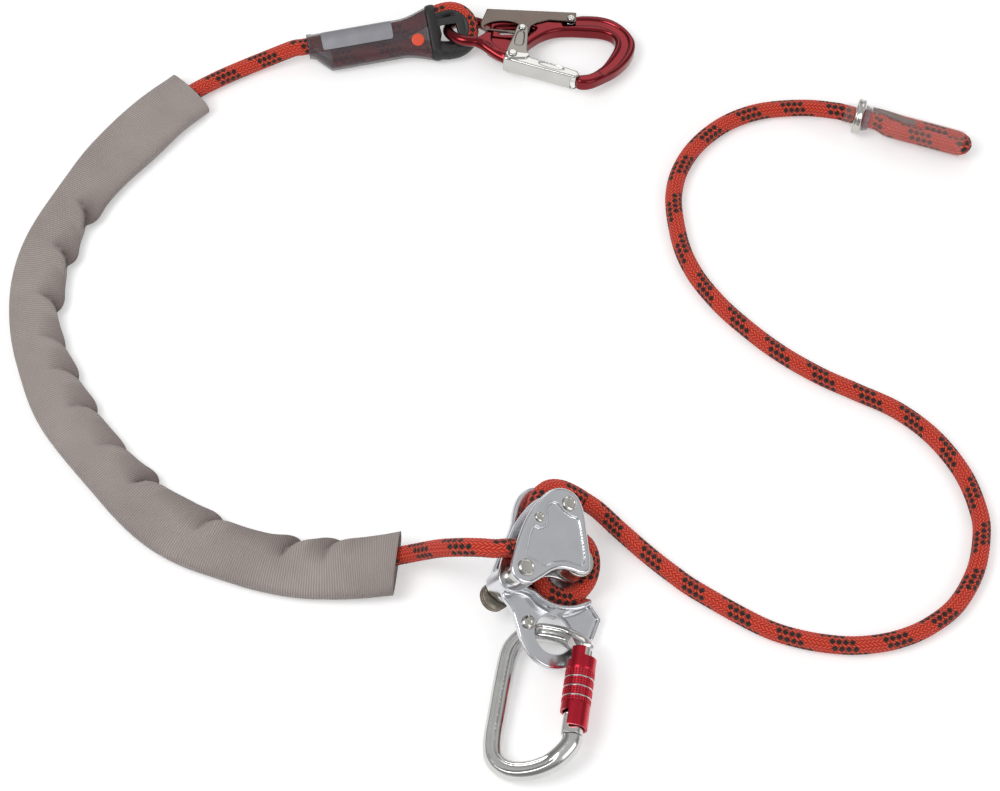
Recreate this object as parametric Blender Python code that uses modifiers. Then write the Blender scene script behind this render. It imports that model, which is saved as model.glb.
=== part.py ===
# Adjustable positioning lanyard: hook, sewn eye, rope, wear sleeve, rope adjuster, carabiner, end stop.
# Sizes are in millimetres and angles in degrees; the helpers turn them into metres.
import bpy
import bmesh
from math import atan2, cos, degrees, hypot, pi, radians, sin
from mathutils import Matrix, Vector

mm = 0.001
clearance = 0.3
round_segments = 28

# The whole lanyard lies on z = 0, shifted so that its box is centred on the origin
layout_shift = (0.6, -16.4)

# Rope
rope_diameter = 11.0
rope_radius = rope_diameter / 2
rope_sides = 3
rope_step = 16.0
end_length = 24.0
end_step = 5.0

# Sewn eye and its covers
eye_origin = (-33.2, 271.9, 13.75)
eye_yaw = 10.9
eye_roll = 25.5
eye_pitch = 2.0
eye_length = 13.6
eye_half_width = 13.55
eye_taper = 34.0
standing_end = -93.0
stub_end = -80.0
cover_wall = 1.1
cover_spare = 0.5
joint_gap = 0.4
cover_mouth = -14.5
collar_length = 5.0
thimble_half_thickness = 3.3
thimble_wall = 0.9
dot_radius = 4.2
label_length = 47.0
label_width = 8.5
sheet_thickness = 0.4

# Hook
hook_origin = (-20.4, 271.6, 12.95)
hook_yaw = -4.5
hook_roll = -7.6
hook_pitch = -3.1
hook_thickness = 9.0
hook_edge = 2.0
ring_radius = 14.1
ring_bar = 3.6
ring_twist = 4.8
web_thickness = 4.0
gate_pivot = (30.0, -23.5)
gate_sheet = 1.4
arm_sheet = 1.2
arm_pin_place = (34.8, 1.0)
arm_pin_radius = 1.4
hook_rivet_radius = 1.6
lug_radius = 3.6
lever_pivot = (66.5, 15.3)
lever_sheet = 1.0
spring_wire = 0.8

# Adjuster, stacked along its axle from the frame outwards
device_origin = (-1.7, -141.1, 22.9)
device_x = (0.6447, 0.7245, -0.2440)
device_y = (-0.6170, 0.6815, 0.3935)
frame_wall = 4.5
lane_spare = 0.9
middle_thickness = 2.5
front_thickness = 3.5
panel_depth = 1.1
plate_edge = 1.0
axle_radius = 3.2
axle_head_radius = 5.2
axle_head_height = 1.4
spacer_radius = 6.0
hub_radius = 9.6
hub_place = (0.5, -2.5)
boss_radius = 9.0
bobbin_place = (34.0, -16.8)
bobbin_radius = 9.2
bobbin_flange = 9.8
top_rivet_place = (50.7, 11.9)
top_rivet_head = 4.6
top_rivet_radius = 2.6
guide_pin_place = (28.7, 17.0)
guide_pin_head = 3.1
guide_pin_radius = 1.9
trough_centre = (30.8, -16.4)
trough_radius = 23.0
trough_wall = 2.0
trough_low = 1.6
trough_top = 24.0
attach_eye = (3.0, -41.5)
attach_hole = 12.0
attach_outer = 21.0
attach_level = 7.8
attach_thickness = 4.0
tab_rim_height = 2.0
screw_place = (-5.9, -26.8)
screw_radius = 4.2
screw_height = 2.6
knob_place = (-3.6, -3.9)
knob_radius = 8.6
knob_length = 6.8

# Carabiner, hung in the adjuster's eye
carabiner_yaw = 72.0
carabiner_pitch = 4.2
carabiner_roll = 14.0
bar_radius = 5.9
gate_radius = 5.2
gate_pin_place = (21.6, -8.6)
gate_end = (30.2, -57.0)
tongue_thickness = 4.0
tongue_radius = 4.2
gate_pin_radius = 1.5
sleeve_spare = 0.5
sleeve_wall = 1.3
sleeve_top = 3.0
sleeve_bottom = -45.2
guide_wall = 1.2
guide_length = 9.0
sleeve_radius = gate_radius + clearance + guide_wall + sleeve_spare + sleeve_wall

# Wear sleeve
sleeve_fabric = 0.9
sleeve_height = 14.8
sleeve_rings = 40
sleeve_sides = 14
pleat_places = (62, 104, 148, 190, 243, 300, 352, 408, 462)
pleat_depth = 0.16
pleat_width = 9.0
sleeve_flare = 0.45

# End stop
stop_origin = (233.4, 202.4, 12.1)
stop_yaw = -17.0
stop_pitch = -2.2
stop_ring_radius = 11.8
stop_ring_length = 5.6
stop_ring_bore = 6.3
washer_length = 4.2
washer_radius = 9.6
stop_cover_start = 11.0
stop_cover_end = 69.0
stop_cover_wall = 0.7
stop_cover_spare = 0.35
fold_half_gap = 5.75
fold_tip = 75.0
fold_lean = 28.0
stop_collar_wall = 0.9

parts = None
cutters = None


def start():
    global parts, cutters
    for item in list(bpy.data.objects):
        bpy.data.objects.remove(item)
    parts = bpy.data.collections.new("positioning_lanyard")
    cutters = bpy.data.collections.new("cutters")
    for group in (parts, cutters):
        bpy.context.scene.collection.children.link(group)


def material(name, colour, roughness, metallic=0.0):
    made = bpy.data.materials.new(name)
    made.use_nodes = True
    shader = made.node_tree.nodes["Principled BSDF"]
    shader.inputs["Base Color"].default_value = (*colour, 1.0)
    shader.inputs["Roughness"].default_value = roughness
    shader.inputs["Metallic"].default_value = metallic
    made.diffuse_color = (*colour, 1.0)
    return made


def empty_frame(name, origin, x_axis, y_axis, parent=None):
    x = Vector(x_axis).normalized()
    y = Vector(y_axis)
    y = (y - x * x.dot(y)).normalized()
    z = x.cross(y)
    spot = bpy.data.objects.new(name, None)
    parts.objects.link(spot)
    spot.matrix_world = Matrix(((x.x, y.x, z.x, origin[0] * mm), (x.y, y.y, z.y, origin[1] * mm),
                                (x.z, y.z, z.z, origin[2] * mm), (0, 0, 0, 1)))
    if parent:
        spot.parent = parent
    return spot


def turned_axes(yaw, roll, pitch):
    y, r, p = radians(yaw), radians(roll), radians(pitch)
    x = Vector((cos(y) * cos(p), sin(y) * cos(p), sin(p)))
    side = Vector((-sin(y), cos(y), 0))
    return x, side * cos(r) + x.cross(side) * sin(r)


def place(item, parent, at=(0, 0, 0)):
    parts.objects.link(item)
    item.parent = parent
    item.location = Vector(at) * mm
    return item


def paint(item, look):
    item.data.materials.append(look)
    return item


def from_bmesh(name, shape):
    mesh = bpy.data.meshes.new(name)
    bmesh.ops.recalc_face_normals(shape, faces=shape.faces)
    shape.to_mesh(mesh)
    shape.free()
    return bpy.data.objects.new(name, mesh)


def shade(item, angle=35):
    item.data.shade_smooth()
    item.data.set_sharp_from_angle(angle=radians(angle))


def baked(item):
    bpy.context.view_layer.update()
    mesh = bpy.data.meshes.new_from_object(item.evaluated_get(bpy.context.evaluated_depsgraph_get()))
    shape = bmesh.new()
    shape.from_mesh(mesh)
    bmesh.ops.remove_doubles(shape, verts=shape.verts, dist=1e-6)
    name = item.name
    matrix = item.matrix_world.copy()
    bpy.data.objects.remove(item)
    solid = from_bmesh(name, shape)
    return solid, matrix


def combine(target, tool, operation):
    parts.objects.unlink(tool)
    cutters.objects.link(tool)
    tool.hide_render = True
    tool.display_type = "WIRE"
    step = target.modifiers.new(tool.name, "BOOLEAN")
    step.operation = operation
    step.object = tool
    step.solver = "EXACT"
    return target


def cut(target, *tools):
    for tool in tools:
        combine(target, tool, "DIFFERENCE")
    return target


def join(target, *tools):
    for tool in tools:
        combine(target, tool, "UNION")
    return target


def through(points, per_span, closed=False):
    """Smooth curve through the points, as a list of vectors."""
    spots = [Vector(p) for p in points]
    count = len(spots)
    spans = count if closed else count - 1
    line = []
    for i in range(spans):
        if closed:
            a, b, c, d = (spots[(i + k) % count] for k in (-1, 0, 1, 2))
        else:
            a, b, c, d = (spots[min(max(i + k, 0), count - 1)] for k in (-1, 0, 1, 2))
        for j in range(per_span):
            t = j / per_span
            line.append(0.5 * (2 * b + (c - a) * t + (2 * a - 5 * b + 4 * c - d) * t * t
                               + (3 * b - a - 3 * c + d) * t ** 3))
    if not closed:
        line.append(spots[-1])
    return line


def evenly(line, step):
    lengths = [0.0]
    for a, b in zip(line, line[1:]):
        lengths.append(lengths[-1] + (b - a).length)
    count = max(2, round(lengths[-1] / step))
    spaced = []
    i = 0
    for k in range(count + 1):
        goal = lengths[-1] * k / count
        while i < len(line) - 2 and lengths[i + 1] < goal:
            i += 1
        part = (goal - lengths[i]) / max(lengths[i + 1] - lengths[i], 1e-9)
        spaced.append(line[i].lerp(line[i + 1], part))
    return spaced


def length_of(line):
    return sum((b - a).length for a, b in zip(line, line[1:]))


def tube(name, line, radius, parent, look=None, resolution=3, closed=False):
    curve = bpy.data.curves.new(name, "CURVE")
    curve.dimensions = "3D"
    spline = curve.splines.new("POLY")
    spline.points.add(len(line) - 1)
    for point, spot in zip(spline.points, line):
        point.co = (*(Vector(spot) * mm), 1.0)
    spline.use_cyclic_u = closed
    spline.use_smooth = True
    curve.bevel_depth = radius * mm
    curve.bevel_resolution = resolution
    curve.use_fill_caps = not closed
    item = place(bpy.data.objects.new(name, curve), parent)
    return paint(item, look) if look else item


def solid_tube(name, line, radius, parent, look=None, resolution=3, closed=False):
    solid, _ = baked(tube(name, line, radius, parent, None, resolution, closed))
    place(solid, parent)
    shade(solid, 60)
    return paint(solid, look) if look else solid


def outline_curve(name, outlines, low, high, edge):
    curve = bpy.data.curves.new(name, "CURVE")
    curve.dimensions = "2D"
    curve.fill_mode = "BOTH"
    for outline in outlines:
        spline = curve.splines.new("POLY")
        spline.points.add(len(outline) - 1)
        for point, spot in zip(spline.points, outline):
            point.co = (spot[0] * mm, spot[1] * mm, 0, 1.0)
        spline.use_cyclic_u = True
    curve.extrude = ((high - low) / 2 - edge) * mm
    curve.bevel_depth = edge * mm
    curve.bevel_resolution = 1 if edge > 1.5 else 0
    curve.offset = -edge * mm
    return bpy.data.objects.new(name, curve)


def plate(name, outlines, low, high, parent, look=None, edge=0.0):
    """A flat outline between two levels, with its rim rounded by edge."""
    item = place(outline_curve(name, outlines, low, high, edge), parent)
    solid, _ = baked(item)
    place(solid, parent, (0, 0, (low + high) / 2))
    shade(solid, 40)
    return paint(solid, look) if look else solid


def cylinder(name, radius, low, high, parent, look=None, at=(0, 0), segments=round_segments):
    shape = bmesh.new()
    bmesh.ops.create_cone(shape, cap_ends=True, segments=segments, radius1=radius * mm, radius2=radius * mm,
                          depth=(high - low) * mm)
    item = place(from_bmesh(name, shape), parent, (at[0], at[1], (low + high) / 2))
    shade(item)
    return paint(item, look) if look else item


def block(name, low, high, parent):
    shape = bmesh.new()
    bmesh.ops.create_cube(shape, size=1.0)
    bmesh.ops.scale(shape, verts=shape.verts, vec=[(b - a) * mm for a, b in zip(low, high)])
    return place(from_bmesh(name, shape), parent, [(a + b) / 2 for a, b in zip(low, high)])


def turned(name, profile, parent, look=None, at=(0, 0, 0), closed=False, segments=round_segments):
    """Profile of (radius, height) from the top down its outer side, turned about the local z axis."""
    shape = bmesh.new()
    points = [shape.verts.new((r * mm, 0, h * mm)) for r, h in profile]
    pairs = list(zip(points, points[1:])) + ([(points[-1], points[0])] if closed else [])
    for a, b in pairs:
        shape.edges.new((a, b))
    mesh = bpy.data.meshes.new(name)
    shape.to_mesh(mesh)
    shape.free()
    item = place(bpy.data.objects.new(name, mesh), parent, at)
    spin = item.modifiers.new("turn", "SCREW")
    spin.steps = segments
    spin.render_steps = segments
    spin.use_merge_vertices = True
    spin.merge_threshold = 0.00001
    spin.use_smooth_shade = True
    return paint(item, look) if look else item


def loft(name, rings, parent, look=None, inner=None):
    """Closed solid through rings of points, or a shell between outer and inner rings."""
    shape = bmesh.new()

    def skin(layers):
        made = [[shape.verts.new(Vector(p) * mm) for p in ring] for ring in layers]
        for a, b in zip(made, made[1:]):
            for i in range(len(a)):
                j = (i + 1) % len(a)
                shape.faces.new((a[i], a[j], b[j], b[i]))
        return made

    outside = skin(rings)
    if inner:
        inside = skin(inner)
        for end in (0, -1):
            a, b = outside[end], inside[end]
            for i in range(len(a)):
                j = (i + 1) % len(a)
                shape.faces.new((a[i], a[j], b[j], b[i]))
    else:
        shape.faces.new(outside[0])
        shape.faces.new(outside[-1])
    item = place(from_bmesh(name, shape), parent)
    shade(item, 50)
    return paint(item, look) if look else item


def arc(centre, radius, start, end, count):
    return [(centre[0] + radius * cos(radians(start + (end - start) * i / count)),
             centre[1] + radius * sin(radians(start + (end - start) * i / count))) for i in range(count + 1)]


def smooth_outline(points, per_span=3, closed=True):
    return [(p.x, p.y) for p in through([(x, y, 0) for x, y in points], per_span, closed)]


def rivet(name, radius, head_radius, head_height, low, high, parent, look, at, both_heads=True):
    """Rivet with a domed head above high and, if asked, another below low."""
    profile = [(0, high + head_height), (head_radius * 0.6, high + head_height * 0.9),
               (head_radius, high + head_height * 0.4), (head_radius, high), (radius, high)]
    if both_heads:
        profile += [(radius, low), (head_radius, low), (head_radius, low - head_height * 0.4),
                    (head_radius * 0.6, low - head_height * 0.9), (0, low - head_height)]
    else:
        profile += [(radius, low), (0, low)]
    return turned(name, profile, parent, look, (at[0], at[1], 0), segments=20)


def coil(name, centre, radius, low, turns, parent, look):
    count = round(turns * 9)
    pitch = spring_wire + 0.45
    line = [Vector((centre[0] + radius * cos(2 * pi * i / 9), centre[1] + radius * sin(2 * pi * i / 9),
                    low + spring_wire / 2 + pitch * i / 9)) for i in range(count + 1)]
    return tube(name, line, spring_wire / 2, parent, look, resolution=1)


# Levels of the adjuster's stack, counted along its axle
wall_low = 0.5
wall_high = wall_low + frame_wall
back_lane = wall_high + clearance + rope_radius
middle_low = back_lane + rope_radius + lane_spare + 0.8
middle_high = middle_low + middle_thickness
front_lane = middle_high + lane_spare + rope_radius
front_low = front_lane + rope_radius + lane_spare
front_high = front_low + front_thickness
attach_high = attach_level + attach_thickness
attach_middle = attach_level + attach_thickness / 2


def looks():
    return {
        "rope": material("rope_orange", (0.72, 0.06, 0.03), 0.8),
        "sleeve": material("sleeve_taupe", (0.33, 0.28, 0.26), 0.9),
        "red": material("anodised_red", (0.42, 0.015, 0.03), 0.3, 0.9),
        "steel": material("polished_steel", (0.72, 0.72, 0.70), 0.22, 1.0),
        "plate": material("machined_alloy", (0.62, 0.63, 0.65), 0.3, 1.0),
        "bronze": material("lever_steel", (0.33, 0.30, 0.27), 0.35, 1.0),
        "black": material("black_plastic", (0.03, 0.03, 0.035), 0.5),
        "smoke": material("smoked_cover", (0.12, 0.09, 0.10), 0.35),
        "clear": material("clear_cover", (0.75, 0.66, 0.62), 0.3),
        "label": material("label_silver", (0.5, 0.5, 0.52), 0.4),
        "thread": material("stitch_thread", (0.3, 0.3, 0.32), 0.8),
        "dot": material("marker_orange", (0.72, 0.08, 0.03), 0.5),
    }


# Hook

def hook_outline():
    spine = [(9.6, 12.0), (14, 12.3), (24, 13.4), (40, 15.4), (56, 17.6), (68, 19.2), (74, 21.0), (84, 21.9),
             (93, 20.4), (101, 15.5), (107, 8.5), (110.3, 1), (109.8, -8), (106, -17.5), (100, -26), (93, -32.5),
             (86, -37.9), (81.5, -40.2), (77.2, -41), (73.8, -40.0), (72.4, -37.3)]
    inside = [(73.8, -34.6), (77.2, -33.5), (81, -32.2), (85, -29), (89.5, -23.5), (93.5, -15), (96.5, -6), (97, 0.5),
              (94, 5.2), (87, 7.3), (77, 7.1), (66, 6.2), (57, 4.1), (49.5, -0.2), (43.5, -6), (39, -12),
              (36, -18)]
    heel = arc(gate_pivot, lug_radius, 10, -120, 6)
    lower = [(24.5, -23.9), (19, -21.4), (12.5, -18.2), (5.5, -15.4)]
    ring_side = arc((0, 0), ring_radius - 0.4, -69, 53, 7)
    return smooth_outline(spine + inside, 2, False) + heel + lower + ring_side


def gate_web_line(offset):
    """Two ends of the gate's outer wall, moved inwards by offset."""
    drop = 5.45 - offset
    slope = radians(-13.6)
    normal = Vector((-sin(slope), cos(slope)))
    along = Vector((cos(slope), sin(slope)))
    foot = Vector(gate_pivot) - normal * drop
    return foot - along * 4.4, foot + along * 34.5, foot + along * 44.5


def build_hook(frame, look):
    half = hook_thickness / 2
    body = plate("hook_body", [hook_outline()], -half, half, frame, look["red"], hook_edge)
    twist = [Vector((ring_radius * cos(2 * pi * i / 32), ring_radius * sin(2 * pi * i / 32),
                     -ring_twist * sin(2 * pi * i / 32))) for i in range(32)]
    ring = solid_tube("ring_bar", twist, ring_bar, frame, None, 3, closed=True)
    join(body, ring)
    pocket = smooth_outline([(17.5, 3.5), (27, 5.6), (39, 7), (44.5, 4.5), (39, -3.5), (33.5, -12), (30.5, -17.2),
                             (25.5, -18.8), (19, -15.6), (15.2, -10), (15.4, -2.5)], 2)
    deep = (hook_thickness - web_thickness) / 2
    pin_slot = smooth_outline([(34.9, 3.5), (29.6, 4.0), (24, 3.2), (20.4, 2.0), (19.4, -0.4), (21.2, -2.2), (24, -1.8),
                               (29.6, -1.1), (34.7, -1.4), (37.2, 1.2)], 2)
    cut(body, block("ring_flat", (5.5, -13, half), (26, 4, half + 6), frame),
        plate("pocket_top", [pocket], half - deep, half + 1, frame),
        plate("pocket_under", [pocket], -half - 1, -half + deep, frame),
        plate("pin_slot", [pin_slot], -half - 2, half + 2, frame),
        cylinder("gate_bore", hook_rivet_radius + clearance, -half - 1, half + 1, frame, None, gate_pivot),
        cylinder("lever_bore", hook_rivet_radius + clearance, -half - 1, half + 1, frame, None, lever_pivot),
        cylinder("gate_spring_seat", 3.0 + spring_wire, half - 2.6, half + 1, frame, None, gate_pivot),
        cylinder("lever_spring_seat", 3.0 + spring_wire, half - 2.6, half + 1, frame, None, lever_pivot))

    cheek_in = half + clearance
    cheek_out = cheek_in + gate_sheet
    arm_in = cheek_out - 0.1
    arm_out = arm_in + arm_sheet
    heel, web_end, nose = gate_web_line(0)
    outer = [tuple(heel), tuple(web_end), tuple(nose), (75.6, -36.4), (73.2, -32.6), (66, -30.2), (54, -27.2),
             (43, -24.4), (39.5, -21.0), (35, -18.6), (26.5, -18.6), (24.6, -23)]
    gate = plate("hook_gate", [outer], -cheek_out, cheek_out, frame, look["steel"])
    heel_in, end_in, nose_in = gate_web_line(gate_sheet)
    inner = [tuple(heel_in - Vector((8, -2))), tuple(end_in), (web_end.x, web_end.y - 3), (90, -46), (90, -5),
             (15, -5)]
    cut(gate, plate("gate_hollow", [inner], -cheek_in, cheek_in, frame))
    arm = [(30.9, 1.2), (29.4, -7.5), (26.6, -17), (25.2, -24.5), (27.5, -28), (39, -26.5), (41.6, -23.6),
           (39.4, -19.5), (38.9, 0.8), (37.6, 3.8), (34.8, 5.0), (32.1, 3.9)]
    join(gate, plate("arm_top", [arm], arm_in, arm_out, frame), plate("arm_under", [arm], -arm_out, -arm_in, frame))
    cut(gate, cylinder("gate_rivet_hole", hook_rivet_radius + clearance, -12, 12, frame, None, gate_pivot),
        cylinder("arm_pin_hole", arm_pin_radius + clearance, -12, 12, frame, None, arm_pin_place))
    rivet("hook_gate_rivet", hook_rivet_radius, 3.0, 1.0, -arm_out - clearance, arm_out + clearance, frame,
          look["steel"], gate_pivot)
    rivet("arm_pin", arm_pin_radius, 2.5, 1.0, -arm_out - clearance, arm_out + clearance, frame, look["steel"],
          arm_pin_place)
    coil("hook_gate_spring", gate_pivot, 2.9, half - 2.3, 1.0, frame, look["steel"])

    wall_out = cheek_in + lever_sheet
    side = [(10.2, 17.0), (69.8, 21.4), (70.3, 12.5), (60, 12.2), (51.4, 11.8), (44.5, 8.4), (40.4, 4.4), (39.6, -1.6),
            (36, -4.6), (30, -4.0), (24.9, -3.2), (17.6, -3.2), (11.4, -3.0), (7.4, -0.8), (6.8, 2.5)]
    lever = plate("lock_lever", [side], -wall_out, wall_out, frame, look["bronze"])
    under = [(0, 15.0), (10, 15.7), (80, 20.9), (90, 20.9), (90, -20), (0, -20)]
    banana = smooth_outline([(34.8, 4.4), (29.5, 6.5), (23, 7.0), (16, 5.6), (11.4, 2.9), (9.4, 0.4), (11.6, -1.3),
                             (17, -1.4), (24, -1.4), (29.5, -1.1), (34.6, -1.8), (37.7, 1.2)], 2)
    cut(lever, plate("lever_hollow", [under], -cheek_in, cheek_in, frame),
        plate("lever_slot", [banana], -12, 12, frame),
        plate("ring_relief", [[(-5, 30), (18.6, 30), (18.6, 6.5), (15, 1.5), (-5, 1.5)]], -12, 0.9, frame),
        cylinder("lever_rivet_hole", hook_rivet_radius + clearance, -12, 12, frame, None, lever_pivot))
    rivet("lever_rivet", hook_rivet_radius, 2.6, 0.9, -wall_out - clearance, wall_out + clearance, frame,
          look["steel"], lever_pivot)
    coil("lever_spring", lever_pivot, 2.9, half - 2.3, 1.0, frame, look["steel"])


# Sewn eye

def strand_offset(x):
    """Distance of each rope leg from the eye's centre line."""
    close = rope_radius + 0.25
    t = min(max((x + eye_taper) / eye_taper, 0), 1)
    return close + (eye_half_width - close) * (t * t * (3 - 2 * t))


def eye_line():
    legs = [standing_end + (0 - standing_end) * i / 14 for i in range(14)]
    far = [Vector((x, strand_offset(x), 0)) for x in legs]
    nose = [Vector((eye_length * sin(radians(a)), eye_half_width * cos(radians(a)), 0)) for a in range(0, 181, 12)]
    near = [Vector((x, -strand_offset(x), 0)) for x in reversed([x for x in legs if x > stub_end])]
    return far + nose + near + [Vector((stub_end, -strand_offset(stub_end), 0))]


def stadium(x, low, high, half, count=18):
    """Ring of points round two strands side by side, in the plane across the local x axis."""
    ring = []
    for i in range(count):
        a = 2 * pi * i / count
        centre = high - half if cos(a) >= 0 else low + half
        ring.append((x, centre + half * cos(a), half * sin(a)))
    return ring


def build_eye(frame, look):
    line = eye_line()
    tube("rope_eye", line, rope_radius, frame, look["rope"], rope_sides)
    bore = rope_radius + cover_spare
    stations = [(standing_end - 1.5, -0.6), (-87, -6.5), (-81.5, -strand_offset(-90) - bore)]
    rings, inner = [], []
    for x, low in stations + [(x, None) for x in (-60, -40, -32, -26, -20, cover_mouth)]:
        high = strand_offset(x) + bore
        low = -high if low is None else low
        rings.append(stadium(x, low - cover_wall, high + cover_wall, bore + cover_wall))
        inner.append(stadium(x, low, high, bore))
    loft("termination_cover", rings, frame, look["smoke"], inner)

    channel = [p for p in line if p.x > cover_mouth]
    thimble = solid_tube("eye_thimble", channel, bore + thimble_wall, frame, look["black"], rope_sides)
    inward = plate("thimble_side", [[(p.x, p.y) for p in channel]], -thimble_half_thickness,
                   thimble_half_thickness, frame)
    combine(thimble, inward, "INTERSECT")
    collar_start = cover_mouth + clearance
    half = bore + cover_wall + 0.6
    collar = [stadium(x, -strand_offset(x) - half, strand_offset(x) + half, half) for x in
              (collar_start, collar_start + collar_length)]
    join(thimble, loft("thimble_collar", collar, frame))
    cut(thimble, solid_tube("thimble_groove", line, bore, frame, None, rope_sides))

    top = bore + cover_wall + clearance
    block_item = block("termination_label", (-85, -0.4, top), (-85 + label_length, label_width - 0.4,
                                                               top + sheet_thickness), frame)
    paint(block_item, look["label"])
    cylinder("marker_dot", dot_radius, top, top + sheet_thickness, frame, look["dot"], (-22.5, -4.2), 20)
    seam = [(x, 0, 4.7) for x in (-76, -64, -52, -40)]
    tube("eye_stitching", [Vector(p) for p in seam], 0.85, frame, look["thread"], 1)


# Rope

def device_point(x, y, level):
    x_axis = Vector(device_x).normalized()
    y_axis = Vector(device_y)
    y_axis = (y_axis - x_axis * x_axis.dot(y_axis)).normalized()
    return Vector(device_origin) + x_axis * x + y_axis * y + x_axis.cross(y_axis) * level


def eye_point(x, y, z):
    x_axis, y_axis = turned_axes(eye_yaw, eye_roll, eye_pitch)
    return Vector(eye_origin) + x_axis * x + y_axis * y + x_axis.cross(y_axis) * z


def stop_point(x, y, z):
    x_axis, y_axis = turned_axes(stop_yaw, 0, stop_pitch)
    return Vector(stop_origin) + x_axis * x + y_axis * y + x_axis.cross(y_axis) * z


# Middle of the sleeve on the floor, from the sewn eye's side to the adjuster's side
sleeve_route = [(-202.5, 224.5), (-220, 208), (-238, 186.5), (-254, 165.5), (-267.5, 142.5), (-279, 118), (-286.5, 92),
                (-289.5, 65), (-286.8, 38), (-278, 12.5), (-266, -13), (-250, -37), (-232, -59), (-211.5, -80),
                (-189, -97), (-164, -109), (-137, -118), (-109, -121.5), (-82, -119.5), (-60, -116.8)]
sleeve_rise = {17: 0.4, 18: 1.9, 19: 6.0}


def sleeve_points():
    lying = sleeve_height / 2 + 0.05
    return [Vector((x, y, lying + sleeve_rise.get(i, 0))) for i, (x, y) in enumerate(sleeve_route)]


def span_points():
    leave = strand_offset(standing_end)
    start = [eye_point(standing_end - run, leave, 0) for run in (joint_gap, 6, 12)]
    lead = [Vector(p) for p in ((-156, 252.0, 7.4), (-170, 245.4, 6.6), (-186, 236.2, 6.9))]
    arch = [Vector(p) for p in ((-46.5, -118.8, 23.2), (-34.8, -123.6, 37.0), (-23.0, -128.2, 47.5),
                                (-11.5, -131.2, 53.2), (-2.9, -132.3, 54.0))]
    return start + lead + sleeve_points() + arch


def wrap_points():
    """Rope inside the adjuster: in by the front lane, round the bobbin, out by the back lane."""
    bx, by = bobbin_place
    reach = bobbin_radius + rope_radius + 0.9
    drop = front_lane - back_lane
    entry = [(4.2, 14.8, front_lane + 0.4), (16, 6.5, front_lane), (27, 0.0, front_lane)]
    turn = []
    for i in range(11):
        angle = radians(100 - 28 * i)
        fall = min(max((i - 2) / 6, 0), 1)
        turn.append((bx + reach * cos(angle), by + reach * sin(angle),
                     front_lane - drop * fall * fall * (3 - 2 * fall)))
    leave = [(22, -5, back_lane), (28, 3, back_lane), (34.8, 11, back_lane), (42, 17.8, back_lane),
             (49.6, 23, back_lane), (57.4, 25.4, back_lane), (64.6, 24.5, back_lane),
             (70.4, 20.4, back_lane), (74.8, 13.8, back_lane), (78.2, 6.4, back_lane)]
    return [device_point(*p) for p in entry + turn + leave]


def tail_points():
    out = [Vector((57.5, -85.4, 12.6)), Vector((64.8, -91.2, 9.6))]
    floor = [(71.6, -97.2, 7.4), (87.4, -112.2, 6.1), (102, -125.0, 5.7), (116.7, -136.4), (151.4, -158.0), (174.3, -166.7),
             (197.4, -170.6), (214.9, -170.3), (232.8, -166.6), (250.3, -158.6), (267.5, -144.6), (280.6, -122.5),
             (286.3, -99.3), (285.9, -82.2), (278.7, -57.4), (263.1, -32.5), (242.5, -13.7), (218.8, -0.9),
             (195.7, 11.4), (171.2, 28.6), (148.8, 49.6), (134.6, 66.2), (122.6, 85.2), (114.9, 106.5),
             (111.3, 133.6), (112.2, 150.5), (116.6, 165.6), (124.8, 180.2), (136.3, 193.0), (150.4, 203.4),
             (166.8, 210.4), (183.4, 213.4), (202.5, 212.0, 8.4)]
    straight = [(-15, 0.2, -0.6), (-10.5, 0, 0), (-6, 0, 0), (0, 0, 0), (6, 0, 0),
                (stop_cover_start - joint_gap, 0, 0)]
    return (out + [Vector(p if len(p) == 3 else (*p, rope_radius + 0.15)) for p in floor] +
            [stop_point(*p) for p in straight])


def nearest(line, spot):
    return min(range(len(line)), key=lambda i: (line[i] - spot).length)


def rope_line(part, step):
    """Even points, closer together over both ends."""
    end = round(end_length / joint_gap)
    return (evenly(part[:end + 1], end_step)[:-1] + evenly(part[end:-end], step) +
            evenly(part[-end - 1:], end_step)[1:])


def build_rope(frame, look):
    whole = evenly(through(span_points() + wrap_points() + tail_points(), 12), joint_gap)
    enter = nearest(whole, wrap_points()[0])
    leave = nearest(whole, wrap_points()[-1])
    for name, part in (("rope_span", whole[:enter]), ("rope_wrap", whole[enter + 1:leave]),
                       ("rope_tail", whole[leave + 1:])):
        line = rope_line(part, 7.0 if name == "rope_wrap" else rope_step)
        tube(name, line, rope_radius, frame, look["rope"], rope_sides)
        print(name, "length", round(length_of(line)), "mm,", len(line), "points")


def pleat(run):
    return sum(pow(2.718, -((run - at) / pleat_width) ** 2) for at in pleat_places)


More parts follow.
